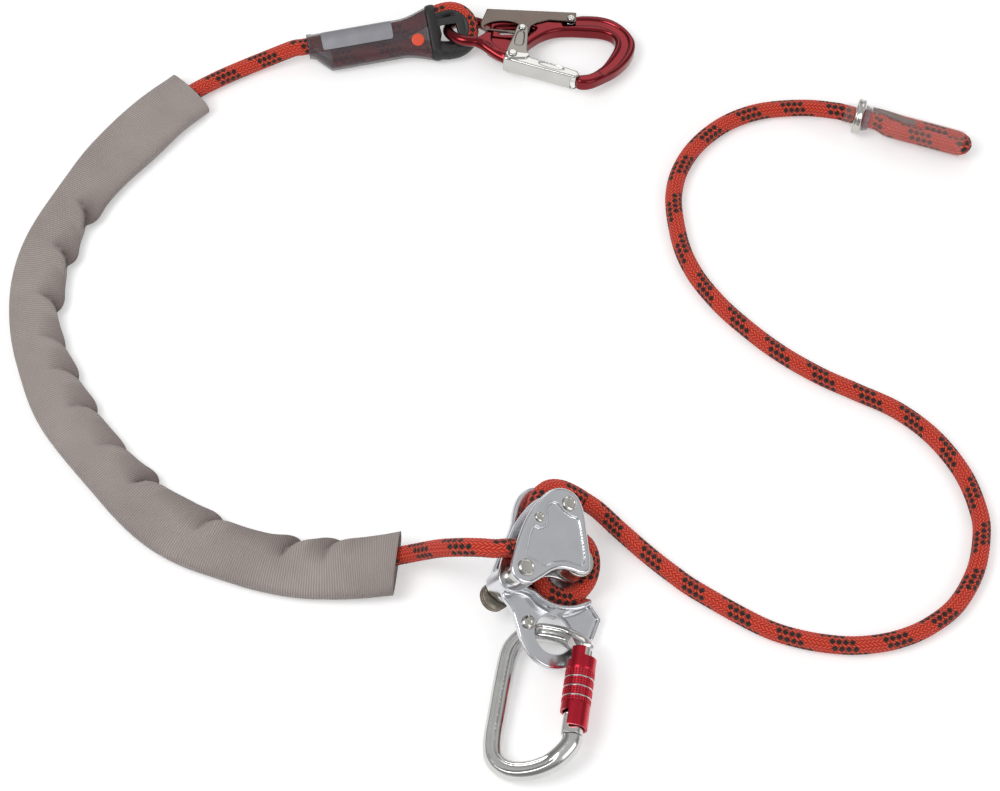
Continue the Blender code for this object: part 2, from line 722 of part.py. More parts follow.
def build_sleeve(frame, look):
    line = evenly(through(sleeve_points(), 12), 10.0)
    total = length_of(line)
    rings, inner = [], []
    for k in range(sleeve_rings):
        place_on = k / (sleeve_rings - 1) * (len(line) - 1)
        i = min(int(place_on), len(line) - 2)
        spot = line[i].lerp(line[i + 1], place_on - i)
        ahead = line[min(i + 2, len(line) - 1)] - line[max(i - 1, 0)]
        side = Vector((-ahead.y, ahead.x, 0)).normalized()
        run = total * k / (sleeve_rings - 1)
        flare = 1 + sleeve_flare * max(0, 1 - (total - run) / 16) ** 2
        left = 19.4 - 2.2 * sin(pi * min(run / 400, 1)) - 0.9 * cos(run / 17)
        right = left
        for sheet, rows in ((0, rings), (sleeve_fabric, inner)):
            ring = []
            for j in range(sleeve_sides):
                a = 2 * pi * j / sleeve_sides
                wide = (left * (1 - pleat_depth * pleat(run)) if cos(a) > 0 else right) - sheet
                tall = sleeve_height / 2 * flare - sheet
                flat = abs(sin(a)) ** 0.6 * (1 if sin(a) >= 0 else -1)
                ring.append(spot + side * wide * cos(a) + Vector((0, 0, tall * flat)))
            rows.append(ring)
    loft("protective_sleeve", rings, frame, look["sleeve"], inner)
    print("sleeve length", round(total), "mm")


# Adjuster

def cheek_outline():
    return smooth_outline([(-9.8, -0.9), (-8.4, 4.0), (-4.4, 7.9), (2.6, 12.3), (12, 17.3), (22.6, 21.8), (32.1, 24.3),
                           (40.4, 25.4), (47.4, 24.9), (53.2, 22.4), (57, 18.6), (58.8, 13.8), (58.2, 8),
                           (54.4, 0.2), (47.8, -8.8), (41.8, -17), (37.6, -22.2), (34, -25.2), (30.4, -25.2),
                           (26.6, -22.6), (23, -17.8), (18.4, -13.4), (12.4, -11.2), (4, -10.4), (-3.6, -8.9),
                           (-8.1, -5.4)], 2)


def build_cheeks(frame, look):
    outline = cheek_outline()
    fit = clearance
    front = plate("cheek_front", [outline], front_low, front_high, frame, look["plate"], plate_edge)
    panel = smooth_outline([(5.2, 5.2), (10.8, 9.2), (16.6, 13.2), (22, 15.2), (24.4, 12.4), (29, 11.2), (33, 14.2),
                            (35.6, 18.2), (40.8, 19.4), (44.4, 16.8), (44.8, 11.2), (46.6, 5.8), (49, 1.2),
                            (43.2, -8), (36.2, -17.4), (32.4, -20.2), (28.8, -18.2), (24.4, -12.4), (17.4, -8.2),
                            (10.8, -6.4), (8.6, -1.2)], 2)
    middle = plate("cheek_middle", [outline], middle_low, middle_high, frame, look["plate"], 0.6)
    cut(front, plate("panel", [panel], front_high - panel_depth, front_high + 1, frame))
    for cheek in (front, middle):
        tag = cheek.name[6:]
        cut(cheek, cylinder("axle_hole_" + tag, axle_radius + fit, -5, 60, frame),
            cylinder("top_hole_" + tag, top_rivet_radius + fit, -5, 60, frame, None, top_rivet_place),
            cylinder("pin_hole_" + tag, guide_pin_radius + fit, -5, 60, frame, None, guide_pin_place))
    spigot = bobbin_radius * 0.45
    cut(middle, cylinder("bobbin_hole", spigot + fit, -5, 60, frame, None, bobbin_place))
    low, high = middle_high + fit, front_low - fit
    turned("bobbin", [(0, high), (bobbin_flange, high), (bobbin_flange, high - 1.2), (bobbin_radius, high - 2.6),
                      (bobbin_radius, low + 2.6), (bobbin_flange, low + 1.2), (bobbin_flange, low),
                      (spigot, low), (spigot, middle_low + 0.2), (0, middle_low + 0.2)],
           frame, look["steel"], (*bobbin_place, 0))
    turned("top_spacer", [(top_rivet_radius + 2.4, high), (top_rivet_radius + 2.4, low), (top_rivet_radius + fit, low),
                          (top_rivet_radius + fit, high)], frame, look["steel"], (*top_rivet_place, 0), True, 20)
    rivet("top_rivet", top_rivet_radius, top_rivet_head, axle_head_height, middle_low - fit, front_high + fit, frame,
          look["steel"], top_rivet_place)
    rivet("guide_pin", guide_pin_radius, guide_pin_head, 0.9, middle_low - fit, front_high + fit, frame, look["steel"],
          guide_pin_place)
    turned("axle_spacer", [(spacer_radius, high), (spacer_radius, low), (axle_radius + fit, low),
                           (axle_radius + fit, high)], frame, look["steel"], (0, 0, 0), True)


def frame_parts(frame, look):
    wall = smooth_outline([(-6.8, -1.5), (-4.4, 4.6), (3, 9.6), (13, 14.2), (23, 18.2), (31.8, 22.6), (36.6, 26.4),
                           (42, 30), (48.4, 32.6), (55.4, 32.9), (61.6, 30), (65.6, 24), (66, 15.4), (61, 4),
                           (54, -9), (47, -24), (38.5, -34.6), (28, -37.4), (16, -33.6), (8, -26), (3, -17.6),
                           (-3.4, -11.8), (-6.6, -6.8)], 3)
    body = plate("frame_plate", [wall], wall_low, wall_high, frame, look["plate"], 0.8)
    hub = cylinder("hub", hub_radius, wall_low + 1.2, attach_high, frame, None, hub_place)
    boss = cylinder("boss", boss_radius, wall_low + 0.1, middle_low - clearance, frame)
    start_angle, end_angle = 172, 270
    outer = arc(trough_centre, trough_radius + trough_wall, start_angle, end_angle, 16)
    inner = arc(trough_centre, trough_radius, end_angle, start_angle, 16)
    trough = plate("trough", [outer + inner], trough_low, trough_top, frame)
    rim = arc(attach_eye, attach_outer, -62, -196, 16)
    inside = arc(trough_centre, trough_radius + trough_wall / 2, 174, 272, 12)
    eye_outline = (rim + [(-15.6, -29.5), (-12.0, -22.4), (-9.4, -16.8), (-8.4, -12.2), (-8.8, -7)] +
                   arc(hub_place, hub_radius - 0.5, 170, 20, 8) + [(8.6, -4.6)] + inside +
                   [(34.6, -40.6), (33.6, -53.2), (20.5, -59.2)])
    eye_plate = plate("attach_plate", [eye_outline], attach_level, attach_high, frame, None, 0.7)
    ledge = [(34.8, -41.6), (33.8, -53.4), (20.5, -59.4), (19.0, -57.8), (31.9, -51.9), (32.8, -41.8)]
    tab_rim = plate("tab_rim", [ledge], attach_level + 0.1, attach_high + tab_rim_height, frame)
    join(body, hub, boss, trough, eye_plate, tab_rim)
    cut(body, cylinder("attach_hole", attach_hole, -5, 40, frame, None, attach_eye, 36),
        cylinder("axle_hole_frame", axle_radius + clearance, -5, 40, frame),
        cylinder("screw_hole", screw_radius * 0.5 + clearance, -5, 40, frame, None, screw_place, 16))
    foot = screw_radius * 0.5
    screw = turned("captive_screw", [(0, attach_high + screw_height), (screw_radius * 0.55, attach_high + screw_height
                                                                       - 0.3),
                                     (screw_radius * 0.9, attach_high + screw_height * 0.6),
                                     (screw_radius, attach_high + clearance), (foot, attach_high + clearance),
                                     (foot, attach_level), (0, attach_level)], frame, look["steel"],
                   (*screw_place, 0), segments=20)
    cut(screw, cylinder("hex_socket", 1.5, attach_high + screw_height - 1.5, attach_high + screw_height + 2, frame,
                        None, screw_place, 6))


def build_axle(frame, look):
    knob_high = wall_low - clearance
    knob_low = knob_high - knob_length
    rivet("axle", axle_radius, axle_head_radius, axle_head_height, knob_low + 0.6, front_high + clearance, frame,
          look["steel"], (0, 0), both_heads=False)
    profile = [(0, knob_high), (knob_radius - 1.2, knob_high)]
    for third in (0, 1, 2):
        top = knob_high - knob_length * third / 3
        profile += [(knob_radius, top - knob_length * 0.067), (knob_radius, top - knob_length * 0.217),
                    (knob_radius - 0.9, top - knob_length * 0.333)]
    knob = turned("rear_knob", profile + [(0, knob_low)], frame, look["steel"], (*knob_place, 0))
    cut(knob, cylinder("axle_hole_knob", axle_radius + clearance, knob_low - 2, knob_high + 2, frame))


# Carabiner

def carabiner_line():
    bow = [(15.2, -1.6), (8, 0.2), (0, 0.4), (-8, -0.4), (-15.2, -3.6), (-19.8, -9.6), (-21.4, -18), (-19.3, -36),
           (-16.5, -54), (-13.8, -70), (-9.8, -79.8), (-2, -84.6), (7, -84.6), (17, -80.6), (25.4, -73.4)]
    return [Vector((x, y, 0)) for x, y in bow]


def gate_axis():
    return (Vector((*gate_end, 0)) - Vector((*gate_pin_place, 0))).normalized()


def build_carabiner(frame, look):
    axis = gate_axis()
    pin = Vector((*gate_pin_place, 0))
    end = Vector((*gate_end, 0))
    shoulder = pin - axis * (tongue_radius + 1.6)
    bow = [pin + axis * (tongue_radius + 1), pin - axis * 4] + carabiner_line() + [end + axis * 5.5, end - axis * 2]
    body = solid_tube("carabiner_body", evenly(through(bow, 8), 5.5), bar_radius, frame, look["steel"], 3)
    across = Vector((axis.y, -axis.x, 0))

    def square(centre, back, front, half):
        corners = ((back, -half), (front, -half), (front, half), (back, half))
        return [tuple((centre + axis * a + across * b).xy) for a, b in corners]

    half = tongue_thickness / 2
    tongue = [pin + across * tongue_radius * cos(radians(a)) + axis * tongue_radius * sin(radians(a))
              for a in range(0, 181, 20)]
    round_tongue = ([shoulder + across * tongue_radius] + tongue +
                    [shoulder - across * tongue_radius, shoulder - across * 9, shoulder + axis * 20 - across * 9,
                     shoulder + axis * 20 + across * 9, shoulder + across * 9])
    cut(body, plate("tongue_top", [square(shoulder, 0, 20, 9)], half, 9, frame),
        plate("tongue_under", [square(shoulder, 0, 20, 9)], -9, -half, frame),
        plate("tongue_round", [[(p.x, p.y) for p in round_tongue]], -9, 9, frame),
        plate("nose_end", [square(end, -9, 0.8, 9)], -9, 9, frame),
        cylinder("hinge_bore", gate_pin_radius + clearance, -8, 8, frame, None, gate_pin_place))

    start = pin - axis * (gate_radius - 1.2)
    gate = solid_tube("carabiner_gate", [start, pin + axis * 12, pin + axis * 30, end], gate_radius, frame,
                      look["steel"], 3)
    cut(gate, plate("gate_slot", [square(pin, -12, tongue_radius + 1.6, 9)], -half - clearance, half + clearance,
                    frame),
        cylinder("gate_pin_bore", gate_pin_radius + 0.2, -8, 8, frame, None, gate_pin_place))
    cylinder("gate_hinge_pin", gate_pin_radius, -gate_radius * 0.93, gate_radius * 0.93, frame, look["steel"],
             gate_pin_place, 16)

    ring_in = gate_radius + clearance
    ring_out = ring_in + guide_wall
    bore = sleeve_radius - sleeve_wall
    lock = empty_frame("lock_axis", (0, 0, 0), (0, 0, 1), (1, 0, 0))
    lock.matrix_world = Matrix.Translation(pin * mm) @ Matrix((
        (across.x, 0, -axis.x, 0), (across.y, 0, -axis.y, 0), (0, -1, 0, 0), (0, 0, 0, 1)))
    lock.parent = frame
    sleeve = turned("lock_sleeve", [(sleeve_radius - 0.5, sleeve_top), (sleeve_radius, sleeve_top - 0.6),
                                    (sleeve_radius, sleeve_bottom), (bore, sleeve_bottom), (bore, sleeve_top)],
                    lock, look["red"], closed=True, segments=32)
    cut(sleeve, block("upper_notch", (-3.0, -12, sleeve_top - 9.0), (12, 12, sleeve_top + 2), lock),
        block("upper_relief", (-6.0, 4.2, sleeve_top - 2.9), (-2, 12, sleeve_top + 2), lock),
        block("lower_notch", (1.5, -12, sleeve_bottom - 2), (12, 12, sleeve_bottom + 9.5), lock))
    turned("guide_ring", [(ring_out, -20), (ring_out, -20 - guide_length), (ring_in, -20 - guide_length),
                          (ring_in, -20)], lock, look["steel"], closed=True)


# End stop

def build_stop(frame, look):
    stand = empty_frame("stop_axis", (0, 0, 0), (0, 1, 0), (0, 0, 1))
    stand.parent = frame
    half = stop_ring_length / 2
    groove = stop_ring_radius - 1.0
    turned("stop_ring", [(stop_ring_radius - 0.9, half), (stop_ring_radius, half - 0.9), (groove, 0.4),
                         (groove, -0.4), (stop_ring_radius, 0.9 - half), (stop_ring_radius - 0.9, -half),
                         (stop_ring_bore, -half), (stop_ring_bore, half)], stand, look["steel"], closed=True)
    collar_bore = rope_radius + cover_spare
    collar_out = collar_bore + stop_collar_wall
    back = -half - clearance
    turned("stop_collar", [(collar_out + 0.6, back), (collar_out + 0.6, back - 1.5), (collar_out, back - 6.5),
                           (collar_bore, back - 6.5), (collar_bore, back)], stand, look["clear"], closed=True)
    face = half + clearance
    turned("cup_washer", [(washer_radius - 1.6, face + washer_length), (washer_radius, face + washer_length - 1.2),
                          (washer_radius + 0.8, face), (stop_ring_bore, face), (stop_ring_bore, face + washer_length)],
           stand, look["plate"], closed=True)

    join_at = stop_cover_start
    legs = [join_at, join_at + 2, join_at + 6, join_at + 10, join_at + 14, join_at + 18, 38, 47,
            fold_tip - fold_half_gap - rope_radius]

    def drift(x):
        t = min(max((x - join_at - 2) / 16, 0), 1)
        return fold_half_gap * t * t * (3 - 2 * t)

    tilt = radians(fold_lean)

    def lean(spot):
        """The fold's plane leans, so that the doubled-back strand lies low on the far side."""
        x, across, up = spot
        return Vector((x, up * sin(tilt) - across * cos(tilt), up * cos(tilt) + across * sin(tilt)))

    out = [(x, drift(x), 0) for x in legs]
    bend_at = legs[-1]
    turn = [(bend_at + fold_half_gap * sin(radians(a)), fold_half_gap * cos(radians(a)), 0)
            for a in range(20, 180, 20)]
    back_leg = [(x, -fold_half_gap, 0) for x in (bend_at, 47, 38, join_at + 19)]
    tube("tail_fold", [lean(p) for p in out + turn + back_leg], rope_radius, frame, look["rope"], rope_sides)
    bore = rope_radius + stop_cover_spare
    outer = bore + stop_cover_wall
    rings, inner = [], []
    for x in (join_at - 2.5, *legs[1:], stop_cover_end):
        low = drift(x)
        high = drift(x + 1.2) + bore
        rings.append([lean(p) for p in stadium(x, -low - outer, high + stop_cover_wall, outer)])
        inner.append([lean(p) for p in stadium(x, -low - bore, high, bore)])
    loft("tail_cover", rings, frame, look["clear"], inner)
    tube("tail_stitching", [lean((x, 0, 4.7)) for x in (32, 40, 48, 54)], 0.85, frame, look["thread"], 1)


def build():
    start()
    look = looks()
    layout = empty_frame("layout", (layout_shift[0], layout_shift[1], 0), (1, 0, 0), (0, 1, 0))

    def stand(name, origin, x_axis, y_axis):
        frame = empty_frame(name, origin, x_axis, y_axis)
        frame.parent = layout
        return frame

    build_rope(layout, look)
    build_sleeve(layout, look)
    build_hook(stand("hook", hook_origin, *turned_axes(hook_yaw, hook_roll, hook_pitch)), look)
    build_eye(stand("sewn_eye", eye_origin, *turned_axes(eye_yaw, eye_roll, eye_pitch)), look)
    device = stand("adjuster", device_origin, device_x, device_y)
    build_cheeks(device, look)
    frame_parts(device, look)
    build_axle(device, look)
    length_axis, _ = turned_axes(carabiner_yaw, 0, carabiner_pitch)
    level = Vector((sin(radians(carabiner_yaw)), -cos(radians(carabiner_yaw)), 0))
    tilt = radians(carabiner_roll)
    across = level * cos(tilt) + level.cross(length_axis) * sin(tilt)
    hang = device_point(*attach_eye, attach_middle)
    build_carabiner(stand("carabiner", hang, across, length_axis), look)
    build_stop(stand("end_stop", stop_origin, *turned_axes(stop_yaw, 0, stop_pitch)), look)


build()
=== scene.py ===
import bpy
import bmesh
import numpy as np
from math import cos, pi, radians, sin
from mathutils import Matrix, Vector, kdtree


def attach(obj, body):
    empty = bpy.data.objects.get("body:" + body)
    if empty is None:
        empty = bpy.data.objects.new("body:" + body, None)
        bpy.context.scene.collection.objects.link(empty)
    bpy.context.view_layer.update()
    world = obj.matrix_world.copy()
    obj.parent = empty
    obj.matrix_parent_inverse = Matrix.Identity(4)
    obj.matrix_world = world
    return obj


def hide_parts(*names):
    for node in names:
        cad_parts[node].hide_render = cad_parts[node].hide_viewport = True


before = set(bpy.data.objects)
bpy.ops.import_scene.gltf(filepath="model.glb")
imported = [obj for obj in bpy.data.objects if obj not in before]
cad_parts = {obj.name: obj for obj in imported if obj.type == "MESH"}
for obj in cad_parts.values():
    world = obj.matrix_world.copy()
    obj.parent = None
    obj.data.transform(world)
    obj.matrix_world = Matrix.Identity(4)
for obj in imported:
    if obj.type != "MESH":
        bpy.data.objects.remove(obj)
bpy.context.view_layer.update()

mm = 0.001
scene = bpy.context.scene
layoutShift = Vector((0.6, -16.4, 0))     # the drawing's origin to the middle of the box, in mm
clearance = 0.3
mainBody = "rope_and_adjuster"


def item(name, data):
    made = bpy.data.objects.new(name, data)
    scene.collection.objects.link(made)
    return made


# Node helpers

def add(tree, kind, inputs=None, **settings):
    made = tree.nodes.new(kind)
    for key, value in settings.items():
        setattr(made, key, value)
    for key, value in (inputs or {}).items():
        value = getattr(value, "socket", value)
        if isinstance(value, bpy.types.NodeSocket):
            tree.links.new(value, made.inputs[key])
        else:
            made.inputs[key].default_value = value
    return made


class Value:     # a socket that adds a math node wherever it is reckoned with
    def __init__(self, tree, socket):
        self.tree, self.socket = tree, socket

    def calc(self, operation, *others):
        made = add(self.tree, "ShaderNodeMath", dict(enumerate((self, *others))), operation=operation)
        return Value(self.tree, made.outputs[0])

    def __add__(self, other):
        return self.calc("ADD", other)

    def __sub__(self, other):
        return self.calc("SUBTRACT", other)

    def __mul__(self, other):
        return self.calc("MULTIPLY", other)

    def __mod__(self, other):
        return self.calc("FLOORED_MODULO", other)

    def __pow__(self, other):
        return self.calc("POWER", other)

    def __abs__(self):
        return self.calc("ABSOLUTE")

    def floor(self):
        return self.calc("FLOOR")

    def below(self, limit):
        return self.calc("LESS_THAN", limit)


def feed(node, label, value):
    node.id_data.links.new(getattr(value, "socket", value), node.inputs[label])


def colour(red, green, blue):     # screen values to the linear ones that a shader takes
    return tuple((c / 12.92 if c <= 0.04045 else ((c + 0.055) / 1.055) ** 2.4) for c in (red, green, blue)) + (1,)


def layered(tree, tone, *layers):     # screen colours laid over the first colour, each by its share
    for share, over in layers:
        tone = add(tree, "ShaderNodeMix", {0: share, 6: tone, 7: colour(*over)}, data_type="RGBA").outputs[2]
    return tone


def ramp(tree, value, stops):
    made = add(tree, "ShaderNodeValToRGB", {0: value})
    points = made.color_ramp.elements
    for i, (place, tone) in enumerate(stops):
        point = points[i] if i < 2 else points.new(place)
        point.position = place
        point.color = (tone, tone, tone, 1)
    return made.outputs[0]


def noise(tree, where, scale, detail=3.0, roughness=0.55):
    inputs = {"Vector": where, "Scale": scale, "Detail": detail, "Roughness": roughness}
    return Value(tree, add(tree, "ShaderNodeTexNoise", inputs).outputs["Fac"])


def stretched(tree, where, x, y, z):
    return add(tree, "ShaderNodeMapping", {0: where, 3: (x, y, z)}).outputs[0]


def objectPlace(tree):
    return add(tree, "ShaderNodeTexCoord").outputs["Object"]


def mapAlong(tree):     # a piece's own map: u goes round it once, v runs along it in metres
    where = add(tree, "ShaderNodeUVMap", uv_map="along").outputs[0]
    split = add(tree, "ShaderNodeSeparateXYZ", {0: where}).outputs
    return where, Value(tree, split["X"]), Value(tree, split["Y"])


def newLook(name, **inputs):
    look = bpy.data.materials.new(name)
    look.use_nodes = True
    shader = look.node_tree.nodes["Principled BSDF"]
    for key, value in inputs.items():
        shader.inputs[key.replace("_", " ")].default_value = value
    return look, look.node_tree, shader


def bump(tree, shader, height, distance, strength):
    made = add(tree, "ShaderNodeBump", {"Height": height, "Distance": distance, "Strength": strength})
    feed(shader, "Normal", made.outputs[0])


# Camera, lights and floor

studio = {
    "target": (0.0006, -0.0164, 0.0), "distance": 1.6, "elevation": 60.0, "lens": 93.6,
    "lights": {     # place, size, power
        "key": ((-0.75, -0.35, 1.35), 0.8, 11.0), "fill": ((1.1, -0.9, 0.9), 0.9, 5.0),
        "back": ((0.25, 1.25, 0.8), 0.7, 1.9), "side": ((1.18, 0.53, 0.93), 1.0, 0.7),
    },
    "world": 0.62, "sky": [(0.0, 0.92), (0.12, 0.80), (0.34, 0.36), (0.62, 0.62), (0.86, 1.0)],
    "floorSize": 5.0, "floorColour": 0.80, "floorGlow": 0.34,
}


def aimed(name, data, place):
    made = item(name, data)
    made.location = place
    made.rotation_euler = (Vector(studio["target"]) - made.location).to_track_quat("-Z", "Y").to_euler()
    return made


def buildStudio():
    tilt = radians(studio["elevation"])
    back = Vector((0, -cos(tilt), sin(tilt))) * studio["distance"]
    scene.camera = aimed("camera", bpy.data.cameras.new("camera"), Vector(studio["target"]) + back)
    scene.camera.data.lens = studio["lens"]
    for name, (place, size, power) in studio["lights"].items():
        light = aimed(name, bpy.data.lights.new(name, "AREA"), place)
        light.data.size = size
        light.data.energy = power

    scene.world = bpy.data.worlds.new("studio")
    scene.world.use_nodes = True
    tree = scene.world.node_tree
    way = add(tree, "ShaderNodeTexCoord").outputs["Generated"]
    height = add(tree, "ShaderNodeSeparateXYZ", {0: way}).outputs["Z"]
    feed(tree.nodes["Background"], "Color", ramp(tree, height, studio["sky"]))
    tree.nodes["Background"].inputs["Strength"].default_value = studio["world"]
    scene.view_settings.view_transform = "Standard"

    paper, tree, shader = newLook("paper", Base_Color=(*[studio["floorColour"]] * 3, 1), Roughness=0.9,
                                  Specular_IOR_Level=0.1, Emission_Color=(1, 1, 1, 1))
    rays = add(tree, "ShaderNodeLightPath").outputs
    seen = Value(tree, rays["Is Camera Ray"])
    for kind in ("Is Glossy Ray", "Is Transmission Ray"):
        seen = seen.calc("MAXIMUM", rays[kind])
    feed(shader, "Emission Strength", seen * studio["floorGlow"])
    shape = bmesh.new()
    bmesh.ops.create_grid(shape, x_segments=8, y_segments=8, size=studio["floorSize"])
    floor = item("floor", bpy.data.meshes.new("floor"))
    shape.to_mesh(floor.data)
    shape.free()
    floor.data.materials.append(paper)
    print("studio ready")


# Looks

braid = {
    "columns": 16, "stroke": 2.5, "lean": 1.1, "markSpacing": 3.9, "markSize": 0.94, "markRim": 0.34, "marksOn": 4,
    "marksCycle": 8, "relief": 0.34, "orange": (0.88, 0.21, 0.12), "paler": (0.80, 0.18, 0.11),
    # the crest colour is a painted highlight on the tops of the braid strokes; the deep colour is painted shade in the
    # gaps between them
    "paintedCrestHighlight": (0.96, 0.40, 0.28), "deep": (0.30, 0.035, 0.02), "black": (0.13, 0.08, 0.07), "accent": (0.55, 0.27, 0.17),
}


def braidHeight(u, v, floor):     # one rule for the mesh and for the nodes of the look
    across = u * braid["columns"]
    column = floor(across + 1e-6)
    part = across - column
    odd = column % 2
    run = v * (1 / (braid["stroke"] * mm)) + abs(odd - part) * braid["lean"] + odd * 0.5
    wave = (run - floor(run)) * 2 - 1
    return (abs(wave) ** 2 * -1 + 1) * (abs(part * 2 - 1) ** 4 * -0.7 + 1)


def ropeLook():
    look, tree, shader = newLook("ropeBraid", Roughness=0.62, Sheen_Weight=0.12, Sheen_Roughness=0.5,
                                 Specular_IOR_Level=0.35)
    where, u, v = mapAlong(tree)
    height = braidHeight(u, v, Value.floor)

    # Dark diamonds in eight columns, four on and four off, each column one step behind the last
    half = u * (braid["columns"] / 2) + 0.25
    lane = half.floor()
    steps = v * (1 / (braid["markSpacing"] * mm)) + lane % 2 * 0.5
    reach = abs((half - lane) * 2 - 1) + abs((steps - steps.floor()) * 2 - 1)
    on = ((lane - steps.floor()) % braid["marksCycle"]).below(braid["marksOn"] - 0.5)
    mark = reach.below(braid["markSize"]) * on
    rim = reach.below(braid["markSize"] + braid["markRim"]) * on - mark

    grain = noise(tree, stretched(tree, where, 120.0, 2600.0, 1.0), 1.0, 2.0)
    # painted highlight: a lighter orange on the tops of the strokes
    paintedCrestHighlight = ramp(tree, height, [(0.62, 0.0), (1.0, 0.75)])
    # painted shade: a deep red down in the gaps between the strokes
    paintedGapShade = ramp(tree, height, [(0.0, 0.95), (0.5, 0.0)])
    feed(shader, "Base Color", layered(tree, colour(*braid["orange"]), (grain, braid["paler"]), (paintedCrestHighlight, braid["paintedCrestHighlight"]),
                                       (rim * 0.6, braid["accent"]), (mark, braid["black"]), (paintedGapShade, braid["deep"])))
    bump(tree, shader, grain * 0.2 + height, 0.0006, 0.9)
    return look


def sleeveLook():
    look, tree, shader = newLook("wovenTaupe", Roughness=0.82, Sheen_Weight=0.22, Sheen_Roughness=0.45,
                                 Specular_IOR_Level=0.25)
    _, u, v = mapAlong(tree)
    rib = (v * (2 * pi / (sleeve["ribs"] * mm))).calc("SINE")
    thread = (u * (2 * pi * sleeve["threads"])).calc("SINE")
    weave = rib * thread * 0.35 + rib
    body = objectPlace(tree)
    broad = noise(tree, body, 22.0, 4.0)
    fine = noise(tree, body, 900.0, 2.0)
    # painted shade: the creases, by the folds attribute, take a darker taupe, made blotchy by the broad noise
    folds = Value(tree, add(tree, "ShaderNodeAttribute", attribute_name="folds").outputs["Fac"])
    creaseShadeAndBlotches = ramp(tree, broad * 0.4 + (folds - 0.2), [(0.10, 0.0), (0.62, 0.75)])
    feed(shader, "Base Color", layered(
        tree, colour(0.64, 0.595, 0.58), (ramp(tree, broad, [(0.3, 0.0), (0.7, 1.0)]), (0.73, 0.685, 0.665)),
        (weave * 0.26 + 0.28, (0.40, 0.355, 0.345)), (fine * 0.25, (0.76, 0.72, 0.70)), (creaseShadeAndBlotches, (0.37, 0.32, 0.31))))
    bump(tree, shader, fine * 0.4 + weave, 0.00022, 0.8)
    return look


def metalLook(name, tone, roughness, dark, scratch, coat=0.0):
    look, tree, shader = newLook(name, Metallic=1.0, Coat_Weight=coat, Coat_Roughness=0.12)
    where = objectPlace(tree)
    cloudy = noise(tree, where, 60.0, 5.0)
    grain = noise(tree, stretched(tree, where, 500.0, 500.0, 4000.0), 1.0, 3.0)
    wearAndCreaseShade = Value(tree, ramp(tree, noise(tree, where, 240.0, 6.0, 0.7), [(0.55, 0.0), (0.72, 1.0)]))
    deep = tuple(c * dark for c in colour(*tone)[:3]) + (1,)
    feed(shader, "Base Color", layered(tree, deep, (ramp(tree, cloudy, [(0.3, 0.0), (0.7, 1.0)]), tone)))
    feed(shader, "Roughness", wearAndCreaseShade * 0.10 + (cloudy * 0.10 + (roughness - 0.05)))
    bump(tree, shader, wearAndCreaseShade * 0.15 + grain, 0.00001, scratch)
    return look


def plasticLook(name, first, second, roughness, **inputs):
    look, tree, shader = newLook(name, Roughness=roughness, **inputs)
    where = objectPlace(tree)
    cloudy = noise(tree, where, 90.0, 4.0)
    fine = noise(tree, where, 1800.0, 2.0)
    feed(shader, "Base Color", layered(tree, colour(*first), (cloudy, second)))
    feed(shader, "Roughness", cloudy * 0.16 + (roughness - 0.08))
    bump(tree, shader, fine * 0.3 + cloudy, 0.00008, 0.5)
    return look


metals = {     # name, colour, roughness, shade of the clouds, depth of the grain, coat
    "red": ("anodisedRed", (0.50, 0.055, 0.10), 0.18, 0.72, 0.1, 0.45),
    "redSleeve": ("anodisedSleeve", (0.78, 0.13, 0.21), 0.24, 0.8, 0.1, 0.3),
    "steel": ("polishedSteel", (0.80, 0.79, 0.77), 0.17, 0.88, 0.12),
    "polished": ("brightSteel", (0.82, 0.82, 0.81), 0.15, 0.88, 0.12),
    "gate": ("pressedSteel", (0.80, 0.795, 0.78), 0.18, 0.88, 0.12),
    # arm: a darker copy of the gate's steel, painted shade on the gate's arm
    "arm": ("shadedArmSteel", (0.56, 0.545, 0.52), 0.22, 0.85, 0.12),
    # knurl: a lighter, pinker copy of the sleeve's red, painted highlight on the knurl beads
    "knurl": ("highlightedKnurlRed", (0.90, 0.33, 0.40), 0.3, 0.85, 0.1),
    "knob": ("knobSteel", (0.58, 0.55, 0.50), 0.24, 0.85, 0.1),
    "plate": ("polishedAlloy", (0.86, 0.865, 0.88), 0.20, 0.92, 0.12),
    "bronze": ("leverSteel", (0.43, 0.385, 0.36), 0.24, 0.85, 0.15),
}
plastics = {     # name, its two colours, roughness, anything further
    "black": ("blackRubber", (0.10, 0.10, 0.11), (0.15, 0.145, 0.15), 0.48, {}),
    "smoke": ("smokedCover", (0.29, 0.235, 0.25), (0.39, 0.335, 0.355), 0.24, {"Alpha": 0.48}),
    "clear": ("clearCover", (0.84, 0.66, 0.64), (0.92, 0.80, 0.78), 0.2, {"Alpha": 0.1}),
    "cup": ("frostedCup", (0.56, 0.46, 0.50), (0.68, 0.60, 0.62), 0.3, {"Alpha": 0.4}),
    "label": ("silverLabel", (0.52, 0.52, 0.55), (0.63, 0.63, 0.65), 0.34, {"Metallic": 0.4}),
    "thread": ("stitchThread", (0.38, 0.37, 0.36), (0.50, 0.49, 0.47), 0.7, {}),
    "dot": ("markerOrange", (0.86, 0.27, 0.15), (0.90, 0.32, 0.18), 0.42, {}),
}


def makeLooks():
    made = {"rope": ropeLook(), "sleeve": sleeveLook()}
    made.update({key: metalLook(*values) for key, values in metals.items()})
    made.update({key: plasticLook(*values[:4], **values[4]) for key, values in plastics.items()})
    return made


# Lines, and meshes along them

def smoothStep(t):
    t = np.clip(t, 0, 1)
    return t * t * (3 - 2 * t)


